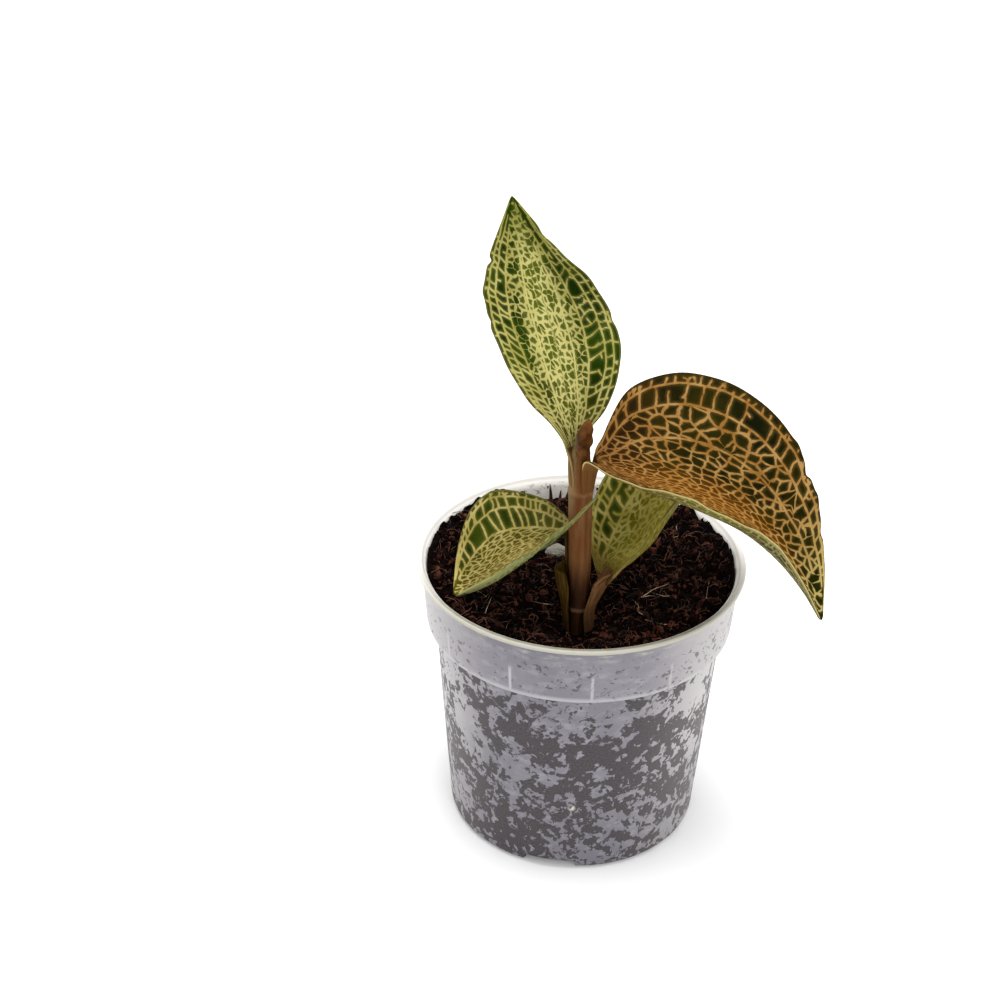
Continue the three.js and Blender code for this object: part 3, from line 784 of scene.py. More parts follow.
def make_pot(material):
    """The turned pot with its foot notches, stacking ribs and drain holes."""
    profile = []
    outline = pot_profile()
    for (r0, z0), (r1, z1) in zip(outline, outline[1:]):
        steps = max(1, int(math.hypot(r1 - r0, z1 - z0) / 1.6))
        profile += [(r0 + (r1 - r0) * k / steps, z0 + (z1 - z0) * k / steps) for k in range(steps)]
    profile.append(outline[-1])
    r, z = np.array(profile).T
    top = int(np.argmax(z))
    inner = np.arange(len(r)) > top
    # Angles from the front; closer together at the edges of notches and ribs.
    edges = (11.2, 11.8, 12.2, 12.6, 14.6, 15.4)
    special = [a + side * s for a in NOTCH_ANGLES for s in edges for side in (-1, 1)]
    ribs = [RIB_FIRST + RIB_PITCH * k for k in range(RIB_COUNT)]
    special += [a + s for a in ribs for s in (-1.1, -0.85, -0.6, 0, 0.6, 0.85, 1.1)]
    even = np.arange(0, 360, 1.5)
    angles = np.unique(np.round(np.concatenate([even, np.mod(special, 360)]), 2))
    angles = angles[np.concatenate([[True], np.diff(angles) > 0.12])]
    turn = angles[:, None]

    def off(centre):
        return np.abs((turn - centre + 180) % 360 - 180)

    radius = np.repeat(r[None, :], len(angles), 0)
    height = np.repeat(z[None, :], len(angles), 0)
    for centre in NOTCH_ANGLES:
        cut = smoothstep(off(centre), NOTCH_HALF + 0.55, NOTCH_HALF - 0.55)
        reach = smoothstep(radius, 16.2, 16.8)
        lift = cut * reach * ~inner
        under = ~inner[None, :] & (height < NOTCH_HEIGHT)
        height = np.where(under, height + lift * (NOTCH_HEIGHT - height), height)
        pocket = smoothstep(off(centre), NOTCH_HALF + 3.3, NOTCH_HALF + 2.7)
        shelf = pocket * smoothstep(radius, 15.0, 15.6) * inner
        above = inner[None, :] & (height < POCKET_TOP)
        height = np.where(above, height + shelf * (POCKET_TOP - height), height)
    for centre in ribs:
        grow = smoothstep(off(centre), 1.0, 0.7) * inner
        span = smoothstep(height, RIB_LOW - 0.2, RIB_LOW + 0.2)
        span = span * smoothstep(height, RIB_HIGH + 0.2, RIB_HIGH - 0.2)
        radius = radius - grow * span * RIB_DEPTH
    around = np.radians(angles)[:, None]
    points = np.stack([radius * np.sin(around), -radius * np.cos(around), height], -1)
    count, rows = len(angles), len(r)
    flat = points[:, 1:-1].reshape(-1, 3)
    foot, floor = len(flat), len(flat) + 1
    flat = np.vstack([flat, [[0, 0, z[0]], [0, 0, z[-1]]]])
    per = rows - 2
    faces = []
    for a in range(count):
        b = (a + 1) % count
        for k in range(per - 1):
            faces.append((a * per + k, b * per + k, b * per + k + 1, a * per + k + 1))
        faces.append((foot, b * per, a * per))
        faces.append((floor, a * per + per - 1, b * per + per - 1))
    pot = add_mesh("nursery_pot", flat * MM, faces, material)
    for centre in NOTCH_ANGLES:
        drill_drain(pot, centre)
    return pot


def drill_drain(pot, centre):
    """Cuts one drain hole through the raised pocket over a foot notch."""
    at, sides = math.radians(centre), DRAIN_SIDES
    x, y = DRAIN_PLACE * math.sin(at), -DRAIN_PLACE * math.cos(at)
    ring = [
        (x + DRAIN_RADIUS * math.cos(t), y + DRAIN_RADIUS * math.sin(t))
        for t in np.linspace(0, 2 * math.pi, sides + 1)[:-1]
    ]
    points = [(a * MM, b * MM, z * MM) for z in DRAIN_SPAN for a, b in ring]
    faces = [(k, (k + 1) % sides, sides + (k + 1) % sides, sides + k) for k in range(sides)]
    faces += [tuple(range(sides - 1, -1, -1)), tuple(range(sides, 2 * sides))]
    drill = add_mesh("drill", points, faces)
    cut = pot.modifiers.new("drain", "BOOLEAN")
    cut.operation, cut.solver, cut.object = "DIFFERENCE", "EXACT", drill
    old = pot.data
    pot.data = settled(pot, cut)
    pot.data.shade_smooth()
    bpy.data.meshes.remove(old)
    drop(drill)


# ---------------------------------------------------------------- stem

STEM_LINE = np.array([
    (0.2, -16.4, 40, 1.1), (0.1, -16.2, 45, 1.6), (0, -16, 49.2, 1.7), (-0.1, -15.7, 53.2, 1.75),
    (-0.1, -15.6, 53.9, 1.95), (-0.1, -15.5, 54.6, 1.8), (-0.3, -14.8, 64, 1.95),
    (-0.6, -13.9, 75.7, 2.05), (-0.6, -13.8, 76.6, 2.25), (-0.6, -13.8, 77.3, 2.05),
    (-0.6, -13.8, 77.6, 1.95), (-0.7, -13.5, 81, 1.85), (-0.75, -13.9, 84.6, 1.45),
    (-0.35, -14.8, 87.6, 1.35), (-0.1, -15.4, 90, 1), (0.5, -15.7, 91.4, 0.4),
])
STEM_SIDES, STEM_RINGS = 56, 210
# The stem's foot in the soil, and how far it leans in x and y for each millimetre up.
STEM_FOOT, STEM_LEAN = (0, -16, 49.2), (-0.022, 0.079)


def make_stem(material):
    """A stem with swollen node rings, a twisted husk at the top and a shut bud."""
    steps = np.linalg.norm(np.diff(STEM_LINE[:, :3], axis=0), axis=1)
    length = np.concatenate([[0], np.cumsum(steps)])
    place = np.linspace(0, length[-1], STEM_RINGS)
    line = np.stack([np.interp(place, length, STEM_LINE[:, k]) for k in range(4)], -1)
    for k in (0, 1):
        line[:, k] = np.convolve(np.pad(line[:, k], 8, mode="edge"), np.ones(17) / 17, "valid")
    kernel = np.array([1, 2, 3, 2, 1]) / 9
    line[:, 3] = np.convolve(np.pad(line[:, 3], 2, mode="edge"), kernel, "valid")
    turn, z = turns(STEM_SIDES), line[:, 2][:, None]
    groove = 0.035 * np.sin(5 * turn + 0.12 * z) + 0.03 * np.sin(9 * turn - 0.2 * z + 1)
    bud = smoothstep(z, 82.0, 85.0)
    flap = bud * 0.16 * np.cos(3 * turn + 0.5 * z) + bud * 0.1 * np.sin(1.9 * z + 2 * turn)
    radius = line[:, 3][:, None] * (1 + groove + flap)
    points, faces = tube(line[:, :3], radius, STEM_SIDES, (0.0, 1.0, 0.0))
    return add_mesh("orchid_stem", points * MM, faces, material)


# ---------------------------------------------------------------- leaves


def catmull(points, s):
    """Points on a Catmull-Rom line at places s from 0 to 1, equal steps between the knots."""
    points = np.asarray(points, dtype=float)
    full = np.vstack([2 * points[0] - points[1], points, 2 * points[-1] - points[-2]])
    place = np.clip(s, 0, 1) * (len(points) - 1)
    k = np.minimum(place.astype(int), len(points) - 2)
    w = (place - k)[..., None]
    a, b, c, d = full[k], full[k + 1], full[k + 2], full[k + 3]
    t0, t1 = (c - a) / 2, (d - b) / 2
    return b + t0 * w + (-3 * b + 3 * c - 2 * t0 - t1) * w**2 + (2 * b - 2 * c + t0 + t1) * w**3


class Blade:
    """A surface lofted through stations of midrib, far margin and near margin."""

    def __init__(self, stations, crease, wave, nicks=()):
        table = np.array(stations, dtype=float)
        self.lines = [table[:, k] for k in range(3)]
        self.crease = crease
        self.wave = wave
        self.nicks = nicks

    def bare(self, s, t):
        rib, far, near = (catmull(line, s) for line in self.lines)
        u, c = np.abs(t), self.crease
        bow = (np.hypot(u, c) - c) / (math.hypot(1, c) - c)
        return rib + (far - near) * (t / 2)[..., None] + ((far + near) / 2 - rib) * bow[..., None]

    def normal(self, s, t):
        ds = self.bare(s + 0.004, t) - self.bare(s - 0.004, t)
        dt = self.bare(s, t + 0.01) - self.bare(s, t - 0.01)
        n = np.cross(ds, dt)
        return n / np.linalg.norm(n, axis=-1)[..., None]

    def at(self, s, t):
        """The blade's middle surface with its waved and nicked margin."""
        s, t = np.broadcast_arrays(np.asarray(s, dtype=float), np.asarray(t, dtype=float))
        swell = np.sin(np.pi * np.clip(s, 0, 1))
        lift = self.wave * np.abs(t) ** 3 * swell * np.sin(21 * s + 2 * t)
        lift = lift + 0.3 * self.wave * np.abs(t) ** 6 * swell * np.sin(64 * s + 5 * t)
        inside = np.clip(s, 0.0, 1.0)
        drawn = t
        for place, sign, width, depth in self.nicks:
            hollow = np.exp(-(((s - place) / width) ** 2)) * np.clip(sign * t, 0, 1) ** 4
            drawn = drawn * (1 - depth * hollow)
        return self.bare(inside, drawn) + self.normal(inside, t) * lift[..., None]

    def solid(self, steps, strips, thick):
        """The closed blade as points, faces, uv, side (1 on top) and middle points."""
        s = np.linspace(0, 1, steps + 1)[:, None] + np.zeros(strips + 1)
        t = np.linspace(-1, 1, strips + 1)[None, :] + np.zeros((steps + 1, 1))
        middle = self.at(s, t)
        n = self.normal(s, t)
        ends = np.clip(np.minimum(s * steps / 3, (1 - s) * steps / 3), 0, 1)
        body = np.sqrt(np.clip(1 - np.abs(t) ** 14, 0, 1)) * np.sqrt(ends * (2 - ends))
        half = thick / 2 * body
        top = (middle + n * half[..., None]).reshape(-1, 3)
        low = (middle - n * half[..., None]).reshape(-1, 3)
        shape = (steps + 1, strips + 1)
        edge = np.zeros(shape, dtype=bool)
        edge[0] = edge[-1] = True
        edge[:, 0] = edge[:, -1] = True
        edge = edge.ravel()
        index = np.arange(top.shape[0])
        below = np.where(edge, index, 0)
        below[~edge] = len(index) + np.arange((~edge).sum())
        faces = np.vstack([quads(index.reshape(shape)), quads(below.reshape(shape))[:, ::-1]])
        uv = np.stack([s.ravel(), (t.ravel() + 1) / 2], -1)
        middle = middle.reshape(-1, 3)
        side = np.concatenate([np.where(edge, 0.5, 1.0), np.zeros((~edge).sum())])
        inside = ~edge
        return (
            np.vstack([top, low[inside]]),
            faces,
            np.vstack([uv, uv[inside]]),
            side,
            np.vstack([middle, middle[inside]]),
        )


def clasp(z, facing, half, radius):
    """A station of a sheath round the stem at height z, facing an angle in degrees."""
    up = z - STEM_FOOT[2]
    x, y = STEM_LEAN[0] * up, STEM_FOOT[1] + STEM_LEAN[1] * up
    return [
        (x + radius * math.cos(math.radians(a)), y + radius * math.sin(math.radians(a)), z)
        for a in (facing, facing + half, facing - half)
    ]


# Dents in a margin: place along the blade, side, width along it, share of the half width.
UPPER_NICKS = (
    (0.762, 1, 0.009, 0.07), (0.68, 1, 0.02, -0.03), (0.6, 1, 0.012, 0.03),
    (0.852, -1, 0.025, 0.16), (0.735, -1, 0.03, -0.05), (0.62, -1, 0.015, 0.03),
)
RIGHT_NICKS = (
    (0.742, 1, 0.01, 0.05), (0.7, 1, 0.014, -0.02), (0.79, 1, 0.012, -0.03),
    (0.84, 1, 0.01, 0.05), (0.52, -1, 0.02, 0.04), (0.66, -1, 0.02, 0.04), (0.8, -1, 0.025, 0.05),
)

UPPER_BLADE = Blade([
    clasp(75, 150, 80, 1.7),
    clasp(80.6, 150, 84, 2.1),
    [(-2.4, -12.2, 84), (-3.1, -14.5, 84.6), (-1.1, -11.8, 84.6)],
    [(-2.5, -11.3, 87.1), (-5.5, -12.9, 87.9), (0.7, -12.1, 88.1)],
    [(-3.6, -9, 91.5), (-10.1, -11.5, 92.6), (3.7, -11.5, 92.9)],
    [(-5.1, -6, 97.2), (-14.4, -9.5, 99), (5.3, -9.5, 99.2)],
    [(-7, -3, 102.8), (-17.4, -6.5, 104.7), (4.3, -6.5, 104.4)],
    [(-9.2, -0.3, 108.6), (-18.2, -3.5, 110.2), (0.4, -3.5, 110.5)],
    [(-11.3, 2, 114.2), (-17.3, -0.5, 115.6), (-5.8, -0.5, 115.6)],
    [(-13.1, 4, 118.7), (-15.8, 3, 119.2), (-10.3, 3, 119)],
    [(-14.3, 5.6, 122.4), (-14.5, 5.5, 122.3), (-14, 5.5, 122.2)],
], 0.9, 0.25, UPPER_NICKS)

RIGHT_BLADE = Blade([
    clasp(74.4, -20, 60, 1.65),
    [(2.2, -13.7, 81.2), (1.4, -10.8, 81.8), (-0.3, -16.7, 83.6)],
    [(5.2, -13.5, 80.4), (3, -4.5, 82.5), (3.4, -21, 84.6)],
    [(10.4, -13.3, 78.6), (7.3, 1.5, 88.5), (9.2, -27, 86.2)],
    [(16.5, -13.2, 76.8), (16.4, 4.5, 90.6), (15.5, -30, 86.2)],
    [(22.9, -13.4, 74.4), (26.7, 4, 88), (21.9, -30, 83.6)],
    [(29, -14, 70.8), (35.1, -1, 83), (27.8, -28, 79.7)],
    [(34.5, -14.8, 65.7), (40.3, -7, 74.3), (33.7, -24, 72.6)],
    [(39.1, -15.8, 59.8), (42.5, -12.5, 63.6), (38.7, -20, 63.3)],
    [(42.6, -16.8, 53.9), (42.8, -16.5, 54.3), (42.3, -17.1, 54.5)],
], 0.35, 0.3, RIGHT_NICKS)

LEFT_BLADE = Blade([
    [(-3.4, -15.2, 68.8), (-1.6, -10.2, 67.6), (2.4, -19.2, 78.9)],
    [(-6.6, -15, 65.8), (-6.1, -6, 69.3), (-0.5, -21.5, 76.6)],
    [(-10.1, -15.2, 64.1), (-11.5, -2.5, 68.9), (-4.3, -23.5, 73.8)],
    [(-13.4, -15.2, 61.3), (-16.9, -1.5, 67.9), (-8.1, -23.5, 70.1)],
    [(-16.5, -14.8, 58.1), (-20.2, -4, 65.2), (-12.3, -21.5, 65.6)],
    [(-19.6, -14.2, 55.4), (-22, -9, 60.3), (-17.1, -18, 59.6)],
    [(-22.1, -13.7, 53.6), (-22.4, -13.3, 53.9), (-21.8, -14.1, 53.9)],
], 0.45, 0.2)
LEFT_STRIP = Blade([
    clasp(51, 120, 30, 2.7),
    clasp(58, 120, 30, 2.68),
    clasp(65, 124, 30, 2.7),
    clasp(68, 128, 34, 2.8),
], 0.9, 0.0)
LEFT_FUNNEL = Blade([
    clasp(49.6, 180, 48, 2.4),
    clasp(53.9, 180, 50, 2.75),
    [(-3.8, -15.3, 58), (-1.9, -17.2, 58.1), (-1.9, -13, 58.1)],
    [(-4.4, -15.1, 61.6), (-2.6, -17, 61.4), (-2.4, -12.6, 61.8)],
], 0.9, 0.0)

LOWER_BLADE = Blade([
    [(4, -14, 57), (3.2, -12.6, 57.5), (4.8, -15.8, 58.9)],
    [(6.1, -11.4, 58.9), (1.8, -8.4, 60.4), (7.4, -16.6, 63.1)],
    [(9, -8.5, 60.2), (1.3, -4.7, 63.4), (9.8, -17.2, 66.6)],
    [(11.8, -5.8, 62.1), (2, -0.5, 67.2), (12, -15.5, 69.3)],
    [(14.3, -3.2, 65.4), (4.8, 5, 70.5), (14.4, -12.5, 72.1)],
    [(17.2, -0.5, 68.7), (10.6, 9, 73.9), (17.4, -8, 74.2)],
    [(20.8, 2, 71.5), (18.3, 8.5, 74.6), (21, -2.5, 75.1)],
    [(24.1, 3.5, 73.8), (23.7, 4.1, 74.1), (24.3, 2.9, 74.2)],
], 0.25, 0.2)
LOWER_FUNNEL = Blade([
    clasp(49.6, -15, 48, 2.5),
    clasp(53.9, -15, 54, 2.75),
    [(3.9, -15.2, 56.6), (2.8, -13, 57), (1.9, -17.2, 57.4)],
    [(4.9, -13.8, 58), (3.6, -12.2, 58.6), (2.7, -16.8, 59.8)],
    [(6.2, -12.2, 58.9), (4.6, -11, 59.6), (5.2, -15.6, 60.8)],
], 0.9, 0.0)


# A row of large cells between two veins that run along the blade, at t = low and t = high.
# pitch is the cells' length, lean and bend shape the rungs, stub and spur are the shares of
# rungs that stop short and that carry a twig.
Row = namedtuple("Row", "low high pitch lean bend stub spur", defaults=(0.2, 0.1, 0.08, 0.2))


# Places along a blade at which its veins are worked out.
NET_STEPS = 200


class Net:
    """Grows the large veins of one blade on its own (s, t) coordinates.

    rows holds, for the far half (1) and the near half (-1), the rows from inside out;
    lanes are places t of lone long veins inside the small net;
    the small net fills what lies inside the first row, with cells of cell_length along
    the blade and from cell_near (at the midrib) to cell_far across it.
    """

    def __init__(self, blade, seed, rows, span, ticks, cell_length, cell_near, cell_far, lanes=()):
        self.blade, self.rows, self.span, self.ticks, self.lanes = blade, rows, span, ticks, lanes
        self.cell_length, self.cell_near, self.cell_far = cell_length, cell_near, cell_far
        self.rng = np.random.default_rng(seed)
        self.paths = []
        self.s = np.linspace(0, 1, NET_STEPS + 1)
        self.rib = self.reach(0)
        self.half = {}
        for sign in (1, -1):
            fan = np.stack([blade.at(self.s, sign * t) for t in np.linspace(0, 1, 9)])
            self.half[sign] = np.linalg.norm(np.diff(fan, axis=0), axis=2).sum(0)
            self.grow(sign)

    def reach(self, t):
        """Length along the blade, in millimetres, at each of the places s on the line t."""
        line = self.blade.at(self.s, t)
        return np.concatenate([[0], np.cumsum(np.linalg.norm(np.diff(line, axis=0), axis=1))])

    def width(self, sign, s):
        return np.interp(s, self.s, self.half[sign])

    def keep(self, sign, *places):
        inside = [(min(max(s, 0.0), 1.0), min(max(t, 0.0), 0.99)) for s, t in places]
        self.paths.append([(s, sign * t) for s, t in inside])

    def vein(self, sign, lane, last):
        """A long vein at t = lane with a slow waver; returns t at each place of self.s."""
        phase = self.rng.uniform(0, 6.28, 3)
        waver = np.sin(17 * self.s + phase[0]) + 0.7 * np.sin(41 * self.s + phase[1])
        waver = waver + 0.5 * np.sin(90 * self.s + phase[2])
        waver = waver * 0.05 / np.maximum(self.half[sign], 1)
        t = lane + waver * 1.6
        use = (self.s > self.span[0]) & (self.s < last)
        self.paths.append([(s, sign * min(v, 0.99)) for s, v in zip(self.s[use], t[use])])
        return t

    def grow(self, sign):
        rng, rows = self.rng, self.rows[sign]
        lanes = [rows[0].low] + [row.high for row in rows]
        lasts = [self.span[1] - 0.05 * (len(lanes) - 1 - k) for k in range(len(lanes))]
        veins = [self.vein(sign, lane, last) for lane, last in zip(lanes, lasts)]
        for lane in self.lanes:
            self.vein(sign, lane, lasts[0] - 0.05)
        for row, inner, outer, last in zip(rows, veins, veins[1:], lasts):
            self.rungs(sign, row, inner, outer, last)
        outer, length = veins[-1], self.reach(sign * lanes[-1])
        place = length[int(NET_STEPS * self.span[0])]
        while True:
            place += self.ticks * rng.uniform(0.55, 1.5)
            s = float(np.interp(place, length, self.s))
            if s > self.span[1] - 0.01:
                break
            t = float(np.interp(s, self.s, outer))
            reach = (1 - t) * rng.uniform(0.35, 0.85)
            lean = rng.uniform(-0.2, 0.8) * reach * self.width(sign, s) / length[-1]
            self.keep(sign, (s, t), (s + 0.6 * lean, t + 0.6 * reach), (s + lean, t + reach))
            if rng.random() < 0.3:
                way = rng.choice([-1, 1]) * 0.5 * reach * self.width(sign, s) / length[-1]
                self.keep(sign, (s + 0.5 * lean, t + 0.5 * reach), (s + way, t + 0.85 * reach))

    def rungs(self, sign, row, inner, outer, last):
        rng = self.rng
        length = self.reach(sign * (row.low + row.high) / 2)
        place = length[int(NET_STEPS * self.span[0])]
        while True:
            s = float(np.interp(place, length, self.s))
            if s > last - 0.01:
                return
            gap = (row.high - row.low) * float(self.width(sign, s))
            place += max(row.pitch * min(1, gap / 1.4), 1.0) * rng.uniform(0.68, 1.36)
            if gap < 0.75 or rng.random() < 0.04:
                continue
            lean = row.lean * gap * rng.uniform(0.5, 1.5) / length[-1]
            low = (s - lean / 2, float(np.interp(s - lean / 2, self.s, inner)))
            high = (s + lean / 2, float(np.interp(s + lean / 2, self.s, outer)))
            side = rng.normal(0, row.bend) * gap / length[-1]

            def on(share):
                curve = 4 * share * (1 - share) * side
                along = low[0] + (high[0] - low[0]) * share
                return (along + curve, low[1] + (high[1] - low[1]) * share)

            ends = (0.0, 1.0)
            if rng.random() < row.stub:
                low_end = rng.random() < 0.5
                ends = (0.0, rng.uniform(0.45, 0.7)) if low_end else (rng.uniform(0.3, 0.55), 1.0)
            self.keep(sign, *[on(ends[0] + (ends[1] - ends[0]) * k / 4) for k in range(5)])
            if rng.random() < row.spur and gap > 1.4:
                share, way = rng.uniform(0.3, 0.75), rng.choice([-1, 1])
                foot, reach = on(share), rng.uniform(0.25, 0.5) * row.pitch / length[-1]
                rise = rng.uniform(-0.25, 0.35) * (row.high - row.low)
                tip = (foot[0] + way * reach, foot[1] + rise)
                self.keep(sign, foot, tip)
                if rng.random() < 0.4:
                    fork = tip[1] + rng.choice([-1, 1]) * 0.2 * rise + 0.02
                    self.keep(sign, tip, (tip[0] + way * reach * 0.3, fork))

    def fields(self, s, t):
        """Cell place, room and zone at places (s, t) of the blade, lengths in metres."""
        far = t >= 0
        widths = np.where(far, self.width(1, s), self.width(-1, s))
        most = np.where(far, self.half[1].max(), self.half[-1].max())
        slope = self.cell_far - self.cell_near
        count = most / slope * np.log1p(slope * np.abs(t) / self.cell_near)
        v = count * (widths / most) ** (0.5 + 0.5 * smoothstep(s, 0.45, 0.75))
        u = np.interp(s, self.s, self.rib) / self.cell_length
        cells = np.stack([u + np.where(far, 0, 61.7), np.where(far, v, -v), 0 * v], -1)
        inside = np.where(far, self.rows[1][0].low, self.rows[-1][0].low)
        zone = (inside - np.abs(t)) * widths
        zone = np.where(s < self.span[0], -1, np.where(s > self.span[1], -1, zone))
        return cells, widths * MM, zone * MM

    def mesh(self, name):
        """The veins as a mesh of loose edges on the blade's middle surface."""
        points, edges = [], []
        for path in self.paths:
            path = np.array(path)
            fine = [path[0]]
            for a, b in zip(path, path[1:]):
                size = abs(b[0] - a[0]) * self.rib[-1] + abs(b[1] - a[1]) * self.half[1].max()
                count = max(1, int(size / 0.4))
                fine += [a + (b - a) * k / count for k in range(1, count + 1)]
            fine = np.array(fine)
            first = len(points)
            points += list(self.blade.at(fine[:, 0], fine[:, 1]) * MM)
            edges += [(first + k, first + k + 1) for k in range(len(fine) - 1)]
        mesh = bpy.data.meshes.new(name)
        mesh.from_pydata([tuple(p) for p in points], edges, [])
        return link(name, mesh)


def vein_rule():
    """Writes the distance from the blade's middle surface to the nearest large vein."""
    rule = Rule("vein_distance")
    veins = rule.ask("Veins", "NodeSocketObject")
    finish = rule.ask("Finish", "NodeSocketMaterial")
    kind = {"data_type": "FLOAT_VECTOR"}
    middle = rule.out("GeometryNodeInputNamedAttribute", kind, Name="middle")
    space = {"transform_space": "ORIGINAL"}
    net = rule.out("GeometryNodeObjectInfo", space, "Geometry", Object=veins)
    lines = {"target_element": "EDGES"}
    near = rule.out("GeometryNodeProximity", lines, "Distance", i0=net, Source_Position=middle)
    shape = rule.out(
        "GeometryNodeStoreNamedAttribute",
        {"data_type": "FLOAT", "domain": "POINT"},
        Geometry=rule.geometry(),
        Name="main",
        Value=near,
    )
    rule.end(shape, finish)
    return rule


SHEATH_GRID = (60, 22)


def make_leaf(name, blade, grid, net, look, petiole, sheaths=(), turned=False, thick=0.62):
    """A leaf with its fields; grid is its steps along and across the blade, and petiole is
    the span of s over which the stalk turns to blade.
    """
    points, faces, uv, side, middle = blade.solid(grid[0], grid[1], thick)
    s, t = uv[:, 0], uv[:, 1] * 2 - 1
    cells, room, zone = net.fields(s, t)
    stalk = 1 - smoothstep(s, petiole[0], petiole[1])
    if turned:
        side = 1 - side
    for sheath in sheaths:
        # A sheath's own middle is set far from the net, so it carries no veins.
        more, quad, more_uv, _, more_middle = sheath.solid(*SHEATH_GRID, thick)
        faces = np.vstack([faces, quad + len(points)])
        points, uv = np.vstack([points, more]), np.vstack([uv, more_uv])
        nothing = np.zeros(len(more))
        side, room = np.append(side, nothing), np.append(room, nothing)
        zone, stalk = np.append(zone, nothing - 1), np.append(stalk, nothing + 1)
        middle = np.vstack([middle, more_middle + 500])
        cells = np.vstack([cells, np.zeros_like(more)])
    base = add_mesh(name + "_base", points * MM, faces, uv=uv)
    add_fields(base, upper=side, room=room, zone=zone, petiole=stalk)
    add_fields(base, middle=middle * MM, cells=cells)
    veins = net.mesh(name + "_veins")
    made = VEINS.run(base, name, Veins=veins, Finish=leaf_finish(name + "_skin", look))
    made.data.attributes.remove(made.data.attributes["middle"])
    for spare in (base, veins):
        drop(spare)
    return made


# ---------------------------------------------------------------- soil

SOIL_LEVEL, SOIL_RIM, SOIL_UNDERSIDE = 51.8, 27.95, 1.65
SOIL_SECTORS, SOIL_RINGS = 300, 110
# Radius and height of the hidden side, from the underside up.
SOIL_SIDE = (
    (20.5, 1.65), (21.7, 3.6), (23.0, 14), (24.2, 28), (25.1, 40.8), (26.5, 42.9), (27.2, 47),
)
# How far the soil is heaped up (or sunk) against the wall: angle from the front, height.
SOIL_BANK = (
    (0, 0), (60, 0), (80, 0.6), (95, 1.2), (135, 1.2), (150, 0.4), (172, -2.4), (196, -2.4),
    (204, -0.6), (214, 1), (228, 1.3), (272, 1.3), (290, 0.5), (305, 0), (360, 0),
)


def soil_height(x, y):
    """The soil's surface: lumps, a dip round the stem and crumbs in three sizes."""
    lump = np.sin(1.1 * x + 1.6 * np.sin(0.7 * y)) * np.sin(0.9 * y + np.sin(0.8 * x))
    roll = np.sin(0.31 * x + 0.8) * np.cos(0.27 * y)
    away = np.hypot(x, y - STEM_FOOT[1])
    still = smoothstep(away, 3, 7)
    dip = 2.8 * (1 - smoothstep(away, 2, 13))
    rough = 0.34 * lattice_noise(x, y, 1.7, 3) + 0.26 * lattice_noise(x, y, 0.8, 4)
    rough = rough + 0.14 * lattice_noise(x, y, 0.42, 5)
    # Heaped up or sunk against the wall, with a crumbled edge.
    angle = np.degrees(np.arctan2(x, -y)) % 360
    near = smoothstep(np.hypot(x, y), 20, 27)
    bank = near * np.interp(angle, *zip(*SOIL_BANK))
    rough = rough + near * (0.55 * lattice_noise(x, y, 1.3, 6) + 0.35 * lattice_noise(x, y, 0.7, 8))
    level = SOIL_LEVEL + still * (0.4 * lump + 0.25 * roll)
    return level - dip + bank + rough * (0.4 + 0.6 * still)


def make_soil(material):
    """The filling of the pot with its crumbled top."""
    turn = turns(SOIL_SECTORS)
    rows = []
    for r, z in SOIL_SIDE:
        rows.append(np.stack([r * np.cos(turn), r * np.sin(turn), z + 0 * turn], -1))
    for k in range(SOIL_RINGS):
        r = SOIL_RIM * (1 - (k / SOIL_RINGS))
        x, y = r * np.cos(turn), r * np.sin(turn)
        rows.append(np.stack([x, y, soil_height(x, y)], -1))
    centre = soil_height(np.zeros(1), np.zeros(1))[0]
    points = np.vstack([[[0, 0, SOIL_UNDERSIDE]], np.vstack(rows), [[0, 0, centre]]])
    # The foot notches' pockets push up into the soil.
    around = np.degrees(np.arctan2(points[:, 0], -points[:, 1]))
    radius = np.hypot(points[:, 0], points[:, 1])
    roof = POCKET_TOP + 0.6
    for notch in NOTCH_ANGLES:
        off = np.abs((around - notch + 180) % 360 - 180)
        points[(off < 16) & (radius > 14.5) & (points[:, 2] < roof), 2] = roof
    ring = np.arange(SOIL_SECTORS)
    after = (ring + 1) % SOIL_SECTORS
    last = 1 + (len(rows) - 1) * SOIL_SECTORS
    faces = []
    for k, n in zip(ring, after):
        faces += [(0, 1 + n, 1 + k), (len(points) - 1, last + k, last + n)]
    for a in range(1, last, SOIL_SECTORS):
        b = a + SOIL_SECTORS
        faces += list(zip(a + ring, a + after, b + after, b + ring))
    return add_mesh("soil_bed", points * MM, faces, material)


def soil_top():
    """A loose copy of the soil's surface for scattering on."""
    count, reach, stem_gap = 90, 27.3, 2.3
    grid = np.linspace(-reach - 0.1, reach + 0.1, count)
    x, y = np.meshgrid(grid, grid, indexing="ij")
    points = np.stack([x, y, soil_height(x, y)], -1).reshape(-1, 3)
    faces = quads(np.arange(count * count).reshape(count, count))
    inside = np.hypot(points[faces, 0], points[faces, 1]).max(1) < reach
    clear = np.hypot(points[faces, 0], points[faces, 1] - STEM_FOOT[1]).min(1) > stem_gap
    return add_mesh("soil_top", points * MM, faces[inside & clear])


